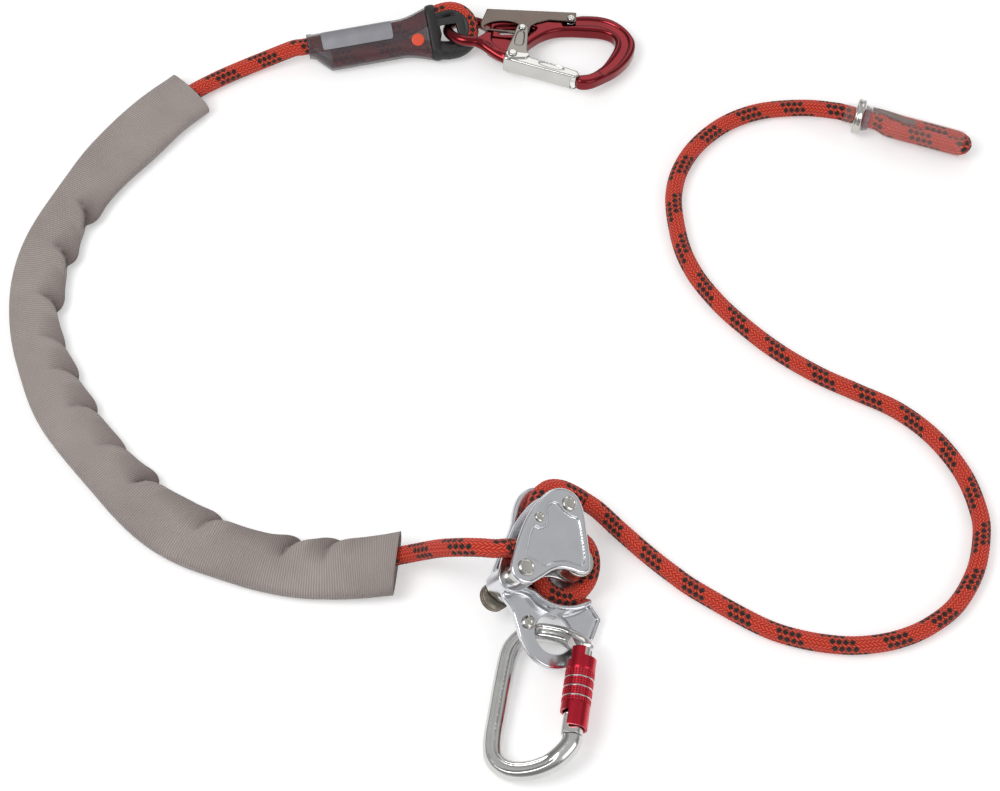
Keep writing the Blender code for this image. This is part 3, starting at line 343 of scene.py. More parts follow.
def smoothLine(points, perSpan, closed=False):     # smooth curve through the points
    spots = [Vector(p) for p in points]
    count = len(spots)
    line = []
    for i in range(count if closed else count - 1):
        a, b, c, d = (spots[(i + k) % count if closed else min(max(i + k, 0), count - 1)] for k in (-1, 0, 1, 2))
        for j in range(perSpan):
            t = j / perSpan
            line.append(0.5 * (2 * b + (c - a) * t + (2 * a - 5 * b + 4 * c - d) * t * t
                               + (3 * b - a - 3 * c + d) * t ** 3))
    if not closed:
        line.append(spots[-1])
    return line


def runsOf(line):
    return np.concatenate([[0.0], np.cumsum(np.linalg.norm(np.diff(line, axis=0), axis=1))])


def spaced(line, runs):     # points of the line at those distances along it
    along = runsOf(line)
    return np.stack([np.interp(runs, along, line[:, k]) for k in range(3)], axis=1)


def headings(line):     # directions ahead
    ahead = np.gradient(line, axis=0)
    return ahead / np.linalg.norm(ahead, axis=1)[:, None]


def carried(line):     # directions sideways and up that follow the line without twisting
    ahead = headings(line)
    side = np.cross((0, 0, 1), ahead[0])
    sides = []
    for way in ahead:
        side = side - way * np.dot(way, side)
        side = side / np.linalg.norm(side)
        sides.append(side)
    return np.array(sides), np.cross(ahead, sides)


def gridMesh(name, rings, runs, caps=True):     # skin over rings of points, with the map "along"
    count, sides = rings.shape[:2]
    verts = rings.reshape(-1, 3)
    i, j = np.meshgrid(np.arange(count - 1), np.arange(sides), indexing="ij")
    k = (j + 1) % sides
    quads = np.stack([i * sides + j, i * sides + k, (i + 1) * sides + k, (i + 1) * sides + j], axis=-1).reshape(-1, 4)
    faces = quads.tolist()
    u = np.stack([j, j + 1, j + 1, j], axis=-1).reshape(-1) / sides
    v = runs[np.stack([i, i, i + 1, i + 1], axis=-1).reshape(-1)]
    coords = np.stack([u, v], axis=-1).reshape(-1)
    if caps:
        faces += [list(range(sides))[::-1], list(range((count - 1) * sides, count * sides))]
        for end, order in ((0, range(sides)[::-1]), (-1, range(sides))):
            coords = np.concatenate([coords, [x for j in order for x in (j / sides, runs[end])]])
    mesh = bpy.data.meshes.new(name)
    mesh.from_pydata(verts.tolist(), [], faces)
    layer = mesh.uv_layers.new(name="along")
    layer.data.foreach_set("uv", coords.astype(np.float32))
    mesh.shade_smooth()
    return item(name, mesh)


def welded(mesh, reach):
    shape = bmesh.new()
    shape.from_mesh(mesh)
    bmesh.ops.remove_doubles(shape, verts=shape.verts, dist=reach)
    bmesh.ops.recalc_face_normals(shape, faces=shape.faces)
    shape.to_mesh(mesh)
    shape.free()


def shellMesh(name, outer, outerRuns, inner, innerRuns):     # wall between two skins, closed over both ends
    rings = np.concatenate([inner[::-1], outer, inner[-1:]])
    made = gridMesh(name, rings, np.concatenate([innerRuns[::-1], outerRuns, innerRuns[-1:]]), caps=False)
    welded(made.data, 1e-7)
    made.data.shade_smooth()
    return made


def ropeMesh(name, line, runs, radius, startRun, bare=()):     # radius for all runs or one for each
    sides = rope["sides"]
    centres = spaced(line, runs)
    side, up = carried(centres)
    angle = 2 * pi * np.arange(sides) / sides
    u, v = np.meshgrid(np.arange(sides) / sides, runs + startRun)
    relief = (braidHeight(u, v, np.floor) - 1) * braid["relief"] * mm
    for low, high in bare:     # no relief where nothing shows
        relief[(runs >= low) & (runs <= high)] = -braid["relief"] * 0.5 * mm
    reach = radius * mm + relief
    rings = (centres[:, None, :] + side[:, None, :] * (np.cos(angle)[None, :, None] * reach[:, :, None])
             + up[:, None, :] * (np.sin(angle)[None, :, None] * reach[:, :, None]))
    return gridMesh(name, rings, runs + startRun), centres


def frameOf(origin, xAxis, yAxis):     # from a piece's own drawing, in metres, to the world
    x = Vector(xAxis).normalized()
    y = Vector(yAxis)
    y = (y - x * x.dot(y)).normalized()
    z = x.cross(y)
    spot = (Vector(origin) + layoutShift) * mm
    return Matrix(((x.x, y.x, z.x, spot.x), (x.y, y.y, z.y, spot.y), (x.z, y.z, z.z, spot.z), (0, 0, 0, 1)))


def turnedFrame(origin, yaw, roll, pitch):
    y, r, p = radians(yaw), radians(roll), radians(pitch)
    x = Vector((cos(y) * cos(p), sin(y) * cos(p), sin(p)))
    side = Vector((-sin(y), cos(y), 0))
    return frameOf(origin, x, side * cos(r) + x.cross(side) * sin(r))


eyeFrame = turnedFrame((-33.2, 271.9, 13.75), 10.9, 25.5, 2.0)
hookFrame = turnedFrame((-20.4, 271.6, 12.95), -4.5, -7.6, -3.1)
deviceFrame = frameOf((-1.7, -141.1, 22.9), (0.6447, 0.7245, -0.2440), (-0.6170, 0.6815, 0.3935))
stopFrame = turnedFrame((233.4, 202.4, 12.1), -17.0, 0, -2.2)


def worldPoint(frameMatrix, x, y, z):     # millimetres of a drawing to millimetres of the layout
    return (frameMatrix @ (Vector((x, y, z)) * mm)) / mm - layoutShift


rope = {
    "radius": 5.5, "sides": 48, "fine": 0.4875, "coarse": 3.0, "gap": 0.4,
    "standingEnd": -93.0, "stubEnd": -80.0, "eyeLength": 13.6, "eyeHalfWidth": 13.55, "eyeTaper": 34.0,
    "hidden": (0.088, 0.545),     # metres of the span inside the sleeve
    "eyeStart": 0.012,     # where in its pattern the eye's braid begins
}
stack = {"wallLow": 0.5, "wallHigh": 5.0, "backLane": 10.8, "middleLow": 18.0, "middleHigh": 20.5,
         "frontLane": 26.9, "frontLow": 33.3, "frontHigh": 36.8}
bobbin = {"place": (34.0, -16.8), "radius": 9.2, "flange": 9.8}
sleeve = {
    "height": 14.8, "halfWidth": 19.4, "fabric": 0.9, "ribs": 1.35, "ribDepth": 0.2, "threads": 120, "sides": 88,
    "drawnIn": 2.2, "wobble": 0.9, "squareSides": 0.92, "squareTop": 0.66,     # how its outline varies
    "slack": 0.36, "valley": 0.26, "crease": 0.42, "ripple": 0.35, "ease": 13.0,     # how it folds
    "flare": 0.45, "flareRun": 16.0, "hang": 4.5, "hangRun": 45.0, "slant": 4.0, "slantRun": 25.0,     # its open end
    "route": [(-202.5, 224.5), (-220, 208), (-238, 186.5), (-254, 165.5), (-267.5, 142.5), (-279, 118), (-286.5, 92),
              (-289.5, 65), (-286.8, 38), (-278, 12.5), (-266, -13), (-250, -37), (-232, -59), (-211.5, -80),
              (-189, -97), (-164, -109), (-137, -118), (-109, -121.5), (-82, -119.5), (-60, -116.8)],
    "rise": {17: 0.4, 18: 1.9, 19: 6.0},
    "pleats": [(124, 1.0), (159, 0.95), (197, 0.8), (228, 0.3), (254, 0.5), (284, 0.55), (318, 0.3), (352, 1.0),
               (404, 0.5), (459, 0.75), (485, 0.45)],     # where, and how deep
}


def strandOffset(x):     # distance of each rope leg from the eye's middle line
    close = rope["radius"] + 0.25
    return close + (rope["eyeHalfWidth"] - close) * smoothStep((x + rope["eyeTaper"]) / rope["eyeTaper"])


def sleevePoints():
    lying = sleeve["height"] / 2 + 0.05
    return [Vector((x, y, lying + sleeve["rise"].get(i, 0))) for i, (x, y) in enumerate(sleeve["route"])]


def spanPoints():
    leave = strandOffset(rope["standingEnd"])
    start = [worldPoint(eyeFrame, rope["standingEnd"] - run, leave, 0) for run in (rope["gap"], 6, 12)]
    lead = [(-156, 252.0, 7.4), (-170, 245.4, 6.6), (-186, 236.2, 6.9)]
    arch = [(-46.5, -118.8, 23.2), (-34.8, -123.6, 37.0), (-23.0, -128.2, 47.5), (-11.5, -131.2, 53.2),
            (-2.9, -132.3, 54.0)]
    return start + [Vector(p) for p in lead] + sleevePoints() + [Vector(p) for p in arch]


def wrapPoints():     # in by the front lane, round the bobbin, out by the back lane
    bx, by = bobbin["place"]
    reach = bobbin["radius"] + rope["radius"] + 0.9
    front, back = stack["frontLane"], stack["backLane"]
    entry = [(4.2, 14.8, front + 0.4), (16, 6.5, front), (27, 0.0, front)]
    turn = []
    for i in range(11):
        angle = radians(100 - 28 * i)
        level = front - (front - back) * smoothStep((i - 2) / 6)
        turn.append((bx + reach * cos(angle), by + reach * sin(angle), level))
    leave = [(22, -5, back), (28, 3, back), (34.8, 11, back), (42, 17.8, back), (49.6, 23, back), (57.4, 25.4, back),
             (64.6, 24.5, back), (70.4, 20.4, back), (74.8, 13.8, back), (78.2, 6.4, back)]
    return [worldPoint(deviceFrame, *p) for p in entry + turn + leave]


def tailPoints():
    out = [Vector((57.5, -85.4, 12.6)), Vector((64.8, -91.2, 9.6))]
    floor = [(71.6, -97.2, 7.4), (87.4, -112.2, 6.1), (102, -125.0, 5.7), (116.7, -136.4), (151.4, -158.0),
             (174.3, -166.7), (197.4, -170.6), (214.9, -170.3), (232.8, -166.6), (250.3, -158.6), (267.5, -144.6),
             (280.6, -122.5), (286.3, -99.3), (285.9, -82.2), (278.7, -57.4), (263.1, -32.5), (242.5, -13.7),
             (218.8, -0.9), (195.7, 11.4), (171.2, 28.6), (148.8, 49.6), (134.6, 66.2), (122.6, 85.2),
             (114.9, 106.5), (111.3, 133.6), (112.2, 150.5), (116.6, 165.6), (124.8, 180.2), (136.3, 193.0),
             (150.4, 203.4), (166.8, 210.4), (183.4, 213.4), (202.5, 212.0, 8.4)]
    straight = [(-15, 0.2, -0.6), (-10.5, 0, 0), (-6, 0, 0), (0, 0, 0), (6, 0, 0), (11.0 - rope["gap"], 0, 0)]
    return (out + [Vector(p if len(p) == 3 else (*p, rope["radius"] + 0.15)) for p in floor]
            + [worldPoint(stopFrame, *p) for p in straight])


def toWorld(line):
    return (np.array([list(p) for p in line]) + np.array(layoutShift)) * mm


def finePieces(total, spans=()):     # distances along a line, coarse within the given spans
    fine, coarse = rope["fine"] * mm, rope["coarse"] * mm
    runs = [0.0]
    while runs[-1] < total - 1e-6:
        slack = any(low < runs[-1] < high for low, high in spans)
        runs.append(runs[-1] + (coarse if slack else fine))
    runs[-1] = total
    if runs[-1] - runs[-2] < fine * 0.4:
        runs.pop(-2)
    return np.array(runs)


def buildRope():
    whole = toWorld(smoothLine(spanPoints() + wrapPoints() + tailPoints(), 12))
    whole = spaced(whole, np.arange(0, runsOf(whole)[-1], rope["gap"] * mm))
    enter, leave = (int(np.argmin(np.linalg.norm(whole - toWorld([spot])[0], axis=1)))
                    for spot in (wrapPoints()[0], wrapPoints()[-1]))
    parts = {"rope_span": whole[:enter], "rope_wrap": whole[enter + 1:leave], "rope_tail": whole[leave + 1:]}
    made = {}
    start = 0.0
    for name, line in parts.items():
        total = runsOf(line)[-1]
        hidden = [rope["hidden"]] if name == "rope_span" else []
        runs = finePieces(total, hidden)
        piece, centres = ropeMesh(name.replace("rope_", "braided_"), line, runs, rope["radius"], start, hidden)
        fitted(piece, "rope", mainBody, name)
        made[name] = (piece, centres, total)
        start += total
    piece, centres, total = made["rope_span"]
    centres[::4].tolist() + [centres[-1].tolist()]
    piece, centres, total = made["rope_tail"]
    centres[::4].tolist() + [centres[-1].tolist()]
    print("rope lengths", {name: round(total, 3) for name, (_, _, total) in made.items()})


def eyeLine():
    start = rope["standingEnd"]
    legs = [start - start * i / 40 for i in range(40)]
    far = [Vector((x, strandOffset(x), 0)) for x in legs]
    nose = [Vector((rope["eyeLength"] * sin(radians(a)), rope["eyeHalfWidth"] * cos(radians(a)), 0))
            for a in range(0, 181, 6)]
    near = [Vector((x, -strandOffset(x), 0)) for x in reversed([x for x in legs if x > rope["stubEnd"]])]
    return far + nose + near + [Vector((rope["stubEnd"], -strandOffset(rope["stubEnd"]), 0))]


def placed(line, matrix):     # drawing points in mm to world metres
    return np.array([list(matrix @ (Vector(p) * mm)) for p in line])


def buildEyeRope():
    line = placed(eyeLine(), eyeFrame)
    total = runsOf(line)[-1]
    line = spaced(line, np.linspace(0, total, 600))
    piece, _ = ropeMesh("braided_eye", line, finePieces(total), rope["radius"], rope["eyeStart"])
    fitted(piece, "rope", mainBody, "rope_eye")
    print("eye rope", round(total, 3))


# Wear sleeve

def bell(gap, width, power=2.0):     # 1 at no gap, falling off over the width
    return np.exp(-np.abs(gap / width) ** power)


def sleeveRing(run, total, angle, inside):     # outline across the sleeve: outwards and upwards, in mm
    c, s = np.cos(angle), np.sin(angle)
    left = total - run
    flare = 1 + sleeve["flare"] * max(0, 1 - left / sleeve["flareRun"]) ** 2
    wide = sleeve["halfWidth"] - sleeve["drawnIn"] * sin(pi * min(run / 400, 1)) - sleeve["wobble"] * cos(run / 17)
    across = np.sign(c) * np.abs(c) ** sleeve["squareSides"]
    tall = sleeve["height"] / 2 * flare * np.sign(s) * np.abs(s) ** sleeve["squareTop"]
    reach = np.full_like(angle, wide)
    inner = np.clip((across + 0.15) / 1.15, 0, 1)     # 1 at the inner edge, nothing past the rope
    loose = 1 - sleeve["slack"] * inner * min(max((run - 60) / 60, 0), 1) * min(max(left / 30, 0), 1)
    for at, deep in sleeve["pleats"]:
        gap = run - at + sleeve["ease"] * (1 - np.exp(-2.6 * (1 - across)))
        valley = bell(gap, np.where(gap < 0, 3.2, 15.0), 1.1)
        dip = bell(gap, np.where(gap < 0, 8.0, 2.6), 1.5)
        reach = reach - deep * wide * (sleeve["valley"] * valley - 0.06 * bell(gap + 10, 7.0)) * inner ** 2
        crease = sleeve["crease"] * dip + 0.30 * bell(gap, 1.5, 1.3) - 0.50 * bell(gap - 6.5, 5.0)
        loose = loose - deep * crease * np.minimum(inner * 1.8, 1)
    ripple = sleeve["ripple"] * np.sin(run / 9.3 + 2.1 * across) + 0.25 * np.sin(run / 5.1 - 3.3 * across + 1.7)
    tall = tall * np.clip(loose, 0.14, 1.12) + ripple * s
    over = rope["radius"] + 0.35     # the least height at which it clears the rope
    if inside:
        reach, tall = reach - sleeve["fabric"], tall - sleeve["fabric"] * np.sign(s) * np.abs(s) ** 0.5
    else:
        over += sleeve["fabric"]
    out = reach * across - sleeve["hang"] * min(max(1 - left / sleeve["hangRun"], 0), 1)
    up = np.sign(s) * np.maximum(np.abs(tall), np.sqrt(np.maximum(over ** 2 - out ** 2, 0)))
    return out, up, np.clip(1 - loose, 0, 1)


def buildSleeve():
    line = toWorld(smoothLine(sleevePoints(), 24))
    total = runsOf(line)[-1]
    layers = []
    # fold depths of the outer skin, which the sleeve's look turns into painted shade in the creases
    wearAndCreaseShade = []     # how deep in a fold each point of the outer skin lies
    for inside, step, low in ((False, sleeve["ribs"] / 2, 0.0002), (True, 5.0, 0.0009)):
        runs = np.linspace(0, total, round(total / mm / step))
        centres = spaced(line, runs)
        ahead = headings(centres)
        side = np.cross((0, 0, 1), ahead)
        side /= np.linalg.norm(side, axis=1)[:, None]
        angle = 2 * pi * np.arange(sleeve["sides"]) / sleeve["sides"]
        rings = np.zeros((len(runs), sleeve["sides"], 3))
        for i, run in enumerate(runs):
            out, up, depth = sleeveRing(run / mm, total / mm, angle, inside)
            if not inside:
                wearAndCreaseShade.append(depth)
                out = out + np.cos(angle) * sleeve["ribDepth"] * (i % 2 - 1)
                up = up + np.sin(angle) * sleeve["ribDepth"] * (i % 2 - 1)
            slant = sleeve["slant"] * min(max(1 - (total - run) / mm / sleeve["slantRun"], 0), 1) * out / 16
            rings[i] = centres[i] + (side[i] * out[:, None] + np.array((0, 0, 1)) * up[:, None]
                                     + ahead[i] * slant[:, None]) * mm
        rings[..., 2] = np.maximum(rings[..., 2], low)
        layers += [rings, runs]
    piece = shellMesh("wear_sleeve", *layers)
    outer = layers[0].reshape(-1, 3)
    finder = kdtree.KDTree(len(outer))
    for i, spot in enumerate(outer):
        finder.insert(spot, i)
    finder.balance()
    depths = np.concatenate(wearAndCreaseShade)
    # the folds attribute carries these depths to the look as painted crease shade
    folds = piece.data.attributes.new("folds", "FLOAT", "POINT")
    folds.data.foreach_set("value", [depths[finder.find(vert.co)[1]] for vert in piece.data.vertices])
    fitted(piece, "sleeve", mainBody, "protective_sleeve")
    print("sleeve", round(total, 3))


# Shapes for the hard pieces, drawn in mm in the frame of their own group

def settled(made, reach=1e-6, bare=True):     # the mesh as its modifiers leave it, welded, under the same name
    bpy.context.view_layer.update()
    mesh = bpy.data.meshes.new_from_object(made.evaluated_get(bpy.context.evaluated_depsgraph_get()))
    name = made.name
    bpy.data.objects.remove(made)
    welded(mesh, reach)
    if bare:
        mesh.materials.clear()
    return item(name, mesh)


def combined(made, tools, kind):
    for tool in tools:
        step = made.modifiers.new(tool.name, "BOOLEAN")
        step.operation = kind
        step.object = tool
        step.solver = "EXACT"
    result = settled(made)
    for tool in tools:
        bpy.data.objects.remove(tool)
    return result


def carved(made, *tools):
    return combined(made, tools, "DIFFERENCE")


def heaped(made, *others):     # overlapping shells in one mesh, of which softened makes one body
    shape = bmesh.new()
    for piece in (made, *others):
        shape.from_mesh(piece.data)
    shape.to_mesh(made.data)
    shape.free()
    for other in others:
        bpy.data.objects.remove(other)
    return made


def polyCurve(name, line, dimensions="3D", closed=False):
    curve = bpy.data.curves.new(name, "CURVE")
    curve.dimensions = dimensions
    spline = curve.splines.new("POLY")
    spline.points.add(len(line) - 1)
    for point, spot in zip(spline.points, line):
        point.co = (*(Vector((*spot, 0)[:3]) * mm), 1)
    spline.use_cyclic_u = closed
    return curve


def flat(name, outline, low, high, edge=0.0, rounds=3):     # outline between two levels, its rim rounded by edge
    curve = polyCurve(name, outline, "2D", True)
    curve.fill_mode = "BOTH"
    curve.extrude = ((high - low) / 2 - edge) * mm
    curve.bevel_depth = edge * mm
    curve.bevel_resolution = rounds
    curve.offset = -edge * mm
    made = settled(item(name, curve))
    made.data.transform(Matrix.Translation((0, 0, (low + high) / 2 * mm)))
    return made


def bothFaces(name, outline, low, high, *rest):     # the same outline above and below the middle plane
    return flat(name + "_top", outline, low, high, *rest), flat(name + "_under", outline, -high, -low, *rest)


def roundBar(name, line, radius, closed=False):
    curve = polyCurve(name, line, "3D", closed)
    curve.bevel_depth = radius * mm
    curve.bevel_resolution = 8
    curve.use_fill_caps = not closed
    return settled(item(name, curve))


def eased(profile, size, loop):     # the profile with its corners rounded
    spots = [Vector((r, h)) for r, h in profile]
    count = len(spots)
    line = []
    for i, spot in enumerate(spots):
        if not loop and i in (0, count - 1):
            line.append(spot)
            continue
        before, after = spots[i - 1] - spot, spots[(i + 1) % count] - spot
        cut = min(size, before.length * 0.45, after.length * 0.45)
        first, last = spot + before.normalized() * cut, spot + after.normalized() * cut
        hold = 0.12 if cut == size else 0     # a close point on each side keeps the rounding off the faces
        if hold and before.length > 2.4 * (size + hold):
            line.append(first + before.normalized() * hold)
        for t in (0, 1 / 3, 2 / 3, 1):
            line.append(first * (1 - t) ** 2 + spot * 2 * t * (1 - t) + last * t * t)
        if hold and after.length > 2.4 * (size + hold):
            line.append(last + after.normalized() * hold)
    return [(p.x, p.y) for p in line]


def turned(name, profile, at=(0, 0), edge=0.3, loop=False, sides=64):     # profile of radius and height round z
    line = eased(profile, edge, loop) if edge else list(profile)
    if loop:
        line.append(line[0])
    angle = 2 * pi * np.arange(sides) / sides
    radius, height = np.array(line).T
    rings = np.stack([at[0] + radius[:, None] * np.cos(angle), at[1] + radius[:, None] * np.sin(angle),
                      np.repeat(height[:, None], sides, axis=1)], axis=-1) * mm
    made = gridMesh(name, rings, np.arange(len(line), dtype=float), caps=False)
    return settled(made, 1e-7)


def drum(name, radius, low, high, at=(0, 0), edge=0.0, sides=48):
    return turned(name, [(0, high), (radius, high), (radius, low), (0, low)], at, edge, sides=sides)


def ridgeWall(name, line, thin, flare, low, foot):     # wall along (x, y, top) points, its outer side flaring to foot
    rings = []
    for i, spot in enumerate(line):
        way = line[min(i + 1, len(line) - 1)] - line[max(i - 1, 0)]
        out = Vector((way.y, -way.x)).normalized() * -1
        spots = [(-thin, low), (-thin, spot.z - 0.6), (0.5 - thin, spot.z), (thin - 0.5, spot.z), (thin, spot.z - 0.6),
                 (thin + flare, foot), (thin + flare, low)]
        rings.append([(*(spot.xy + out * r), h) for r, h in spots])
    return settled(gridMesh(name, np.array(rings) * mm, np.arange(float(len(line)))))


def rivet(name, radius, head, height, low, high, at, under=True, dimple=0.0):     # dimple: radius of the sunk middle
    top = high + height
    profile = [(0, top - 0.35), (dimple, top - 0.35), (dimple + 0.25, top)] if dimple else [(0, top)]
    brow = max(head * 0.7, dimple + 0.6)
    profile += [(brow, high + height * 0.98), (max(head * 0.93, brow + 0.3), high + height * 0.6),
                (head, high + height * 0.2), (head, high), (radius, high), (radius, low)]
    profile += ([(head, low), (head, low - height * 0.3), (head * 0.7, low - height * 0.92), (0, low - height)] if under
                else [(0, low)])
    return turned(name, profile, at, 0.25)


def block(name, low, high):
    shape = bmesh.new()
    bmesh.ops.create_cube(shape, size=1.0)
    for vert in shape.verts:
        vert.co = Vector([a + (b - a) * (c + 0.5) for a, b, c in zip(low, high, vert.co)]) * mm
    mesh = bpy.data.meshes.new(name)
    shape.to_mesh(mesh)
    shape.free()
    return item(name, mesh)


def softened(made, voxel, passes):     # one skin over everything, its edges eased
    skin = made.modifiers.new("skin", "REMESH")
    skin.mode = "VOXEL"
    skin.voxel_size = voxel * mm
    ease = made.modifiers.new("ease", "SMOOTH")
    ease.factor = 0.5
    ease.iterations = passes
    return settled(made)


def smoothOutline(points, perSpan=4, closed=True):
    return [(p.x, p.y) for p in smoothLine([(x, y, 0) for x, y in points], perSpan, closed)]


def arc(centre, radius, start, end, count):
    return [(centre[0] + radius * cos(radians(start + (end - start) * i / count)),
             centre[1] + radius * sin(radians(start + (end - start) * i / count))) for i in range(count + 1)]


def ribbon(points, half):     # outline of a strip of even width along the points
    line = smoothLine([(x, y, 0) for x, y in points], 5)
    sides = []
    for i, spot in enumerate(line):
        way = (line[min(i + 1, len(line) - 1)] - line[max(i - 1, 0)]).normalized()
        sides.append(Vector((-way.y, way.x, 0)) * half)
    left = [p + s for p, s in zip(line, sides)]
    right = [p - s for p, s in zip(line, sides)]
    return [(p.x, p.y) for p in left + right[::-1]]


def fitted(made, look, body, node=None, matrix=None, sharp=None):     # finishes a piece and hands it over
    if matrix:
        made.data.transform(matrix)
        if matrix.determinant() < 0:
            made.data.flip_normals()
    made.data.shade_smooth()
    if sharp:
        made.data.set_sharp_from_angle(angle=radians(sharp))
    made.data.materials.clear()
    made.data.materials.append(looks[look])
    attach(made, body)
    if node:
        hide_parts(node)
    return made


# Repeated details: coils, knurling and stitches

def newTree(name, inputs):
    tree = bpy.data.node_groups.new(name, "GeometryNodeTree")
    tree.interface.new_socket("Geometry", in_out="INPUT", socket_type="NodeSocketGeometry")
    for label, kind in inputs.items():
        tree.interface.new_socket(label, in_out="INPUT", socket_type="NodeSocket" + kind)
    tree.interface.new_socket("Geometry", in_out="OUTPUT", socket_type="NodeSocketGeometry")
    return tree, add(tree, "NodeGroupInput").outputs


def endTree(tree, geometry, material):
    real = add(tree, "GeometryNodeRealizeInstances", {0: geometry}).outputs[0]
    painted = add(tree, "GeometryNodeSetMaterial", {"Geometry": real, "Material": material}).outputs[0]
    add(tree, "NodeGroupOutput", {0: painted})
    return tree


def coilTree():
    tree, given = newTree("springCoil", {"Turns": "Float", "Radius": "Float", "Height": "Float", "Wire": "Float",
                                         "Material": "Material"})
    spiral = add(tree, "GeometryNodeCurveSpiral", {
        "Resolution": 28, "Rotations": given["Turns"], "Start Radius": given["Radius"], "End Radius": given["Radius"],
        "Height": given["Height"]}).outputs[0]
    section = add(tree, "GeometryNodeCurvePrimitiveCircle", {"Resolution": 12, "Radius": given["Wire"]}).outputs[0]
    wire = add(tree, "GeometryNodeCurveToMesh",
               {"Curve": spiral, "Profile Curve": section, "Fill Caps": True}).outputs[0]
    return endTree(tree, wire, given["Material"])


def knurlTree():
    tree, given = newTree("knurlBand", {"Count": "Int", "Rows": "Int", "Radius": "Float", "Pitch": "Float",
                                        "Size": "Vector", "Material": "Material"})
    step = add(tree, "ShaderNodeCombineXYZ", {"Z": given["Pitch"]}).outputs[0]
    column = add(tree, "GeometryNodeMeshLine", {"Count": given["Rows"], "Offset": step}).outputs[0]
    circle = add(tree, "GeometryNodeMeshCircle", {"Vertices": given["Count"], "Radius": given["Radius"]}).outputs[0]
    rows = add(tree, "GeometryNodeInstanceOnPoints", {"Points": column, "Instance": circle}).outputs[0]
    places = add(tree, "GeometryNodeRealizeInstances", {0: rows}).outputs[0]
    spot = add(tree, "GeometryNodeInputPosition").outputs[0]
    outward = add(tree, "ShaderNodeVectorMath", {0: spot, 1: (1, 1, 0)}, operation="MULTIPLY").outputs[0]
    facing = add(tree, "FunctionNodeAlignRotationToVector", {"Vector": outward}, axis="X").outputs[0]
    bead = add(tree, "GeometryNodeMeshCube", {"Size": given["Size"]}).outputs[0]
    beads = add(tree, "GeometryNodeInstanceOnPoints",
                {"Points": places, "Instance": bead, "Rotation": facing}).outputs[0]
    return endTree(tree, beads, given["Material"])


def stitchTree():
    tree, given = newTree("stitchRow", {"Spacing": "Float", "Size": "Vector", "Seed": "Int", "Material": "Material"})
    rows = add(tree, "GeometryNodeCurveToPoints", {"Curve": given["Geometry"], "Length": given["Spacing"]},
               mode="LENGTH").outputs
    facing = add(tree, "FunctionNodeAlignRotationToVector", {"Vector": rows["Tangent"]}, axis="Z").outputs[0]
    bead = add(tree, "GeometryNodeMeshUVSphere", {"Segments": 10, "Rings": 7, "Radius": 0.5}).outputs[0]
    uneven = add(tree, "FunctionNodeRandomValue", {"Min": (0.86, 0.86, 0.95), "Max": (1.1, 1.1, 1.1),
                                                   "Seed": given["Seed"]}, data_type="FLOAT_VECTOR").outputs[0]
    size = add(tree, "ShaderNodeVectorMath", {0: given["Size"], 1: uneven}, operation="MULTIPLY").outputs[0]
    beads = add(tree, "GeometryNodeInstanceOnPoints", {"Points": rows["Points"], "Instance": bead, "Rotation": facing,
                                                       "Scale": size}).outputs[0]
    return endTree(tree, beads, given["Material"])


def grown(name, tree, data=None, **values):     # a mesh from one of the trees above
    made = item(name, data or bpy.data.meshes.new(name))
    step = made.modifiers.new("rule", "NODES")
    step.node_group = tree
    for entry in tree.interface.items_tree:
        if entry.in_out == "INPUT" and entry.name in values:
            step[entry.identifier] = values[entry.name]
    return settled(made, 1e-8, bare=False)


# Hook

hook = {
    "half": 4.5, "edge": 2.0, "ring": 14.1, "bar": 3.6, "twist": 4.8, "web": 4.0, "gatePivot": (30.0, -23.5),
    "leverPivot": (66.5, 15.3), "armPin": (34.8, 1.0), "gateSheet": 1.4, "gateEdge": 1.3, "armSheet": 1.2,
    "leverSheet": 1.0, "rivet": 1.6, "armRivet": 1.4, "lug": 3.6, "wire": 0.8, "coil": 2.9,
    "rim": 3.3, "channelHalf": 3.1, "channelDepth": 1.0, "panelDepth": 0.55, "ovalDepth": 0.7,
    "voxel": 0.42, "gateVoxel": 0.33, "leverVoxel": 0.32,     # how finely each is skinned over
    "spine": [(9.6, 12.0), (14, 12.3), (24, 13.4), (40, 15.4), (56, 17.6), (68, 19.2), (74, 21.0), (84, 21.9),
              (93, 20.4), (101, 15.5), (107, 8.5), (110.3, 1), (109.8, -8), (106, -17.5), (100, -26), (93, -32.5),
              (86, -37.9), (81.5, -40.2), (77.2, -41), (73.8, -40.0), (72.4, -37.3)],
    "inside": [(73.8, -34.6), (77.2, -33.5), (81, -32.2), (85, -29), (89.5, -23.5), (93.5, -15), (96.5, -6),
               (97, 0.5), (94, 5.2), (87, 7.3), (77, 7.1), (66, 6.2), (57, 4.1), (49.5, -0.2), (43.5, -6),
               (39, -12), (36, -18)],
    "channel": [(61, 11.6), (70, 13.4), (79, 14.6), (87.5, 14.3), (95, 11.4), (100.6, 6.4), (103.2, 0.0),
                (102.7, -7.5), (99.4, -16.4), (94.4, -24.6), (88.6, -31.2)],
}


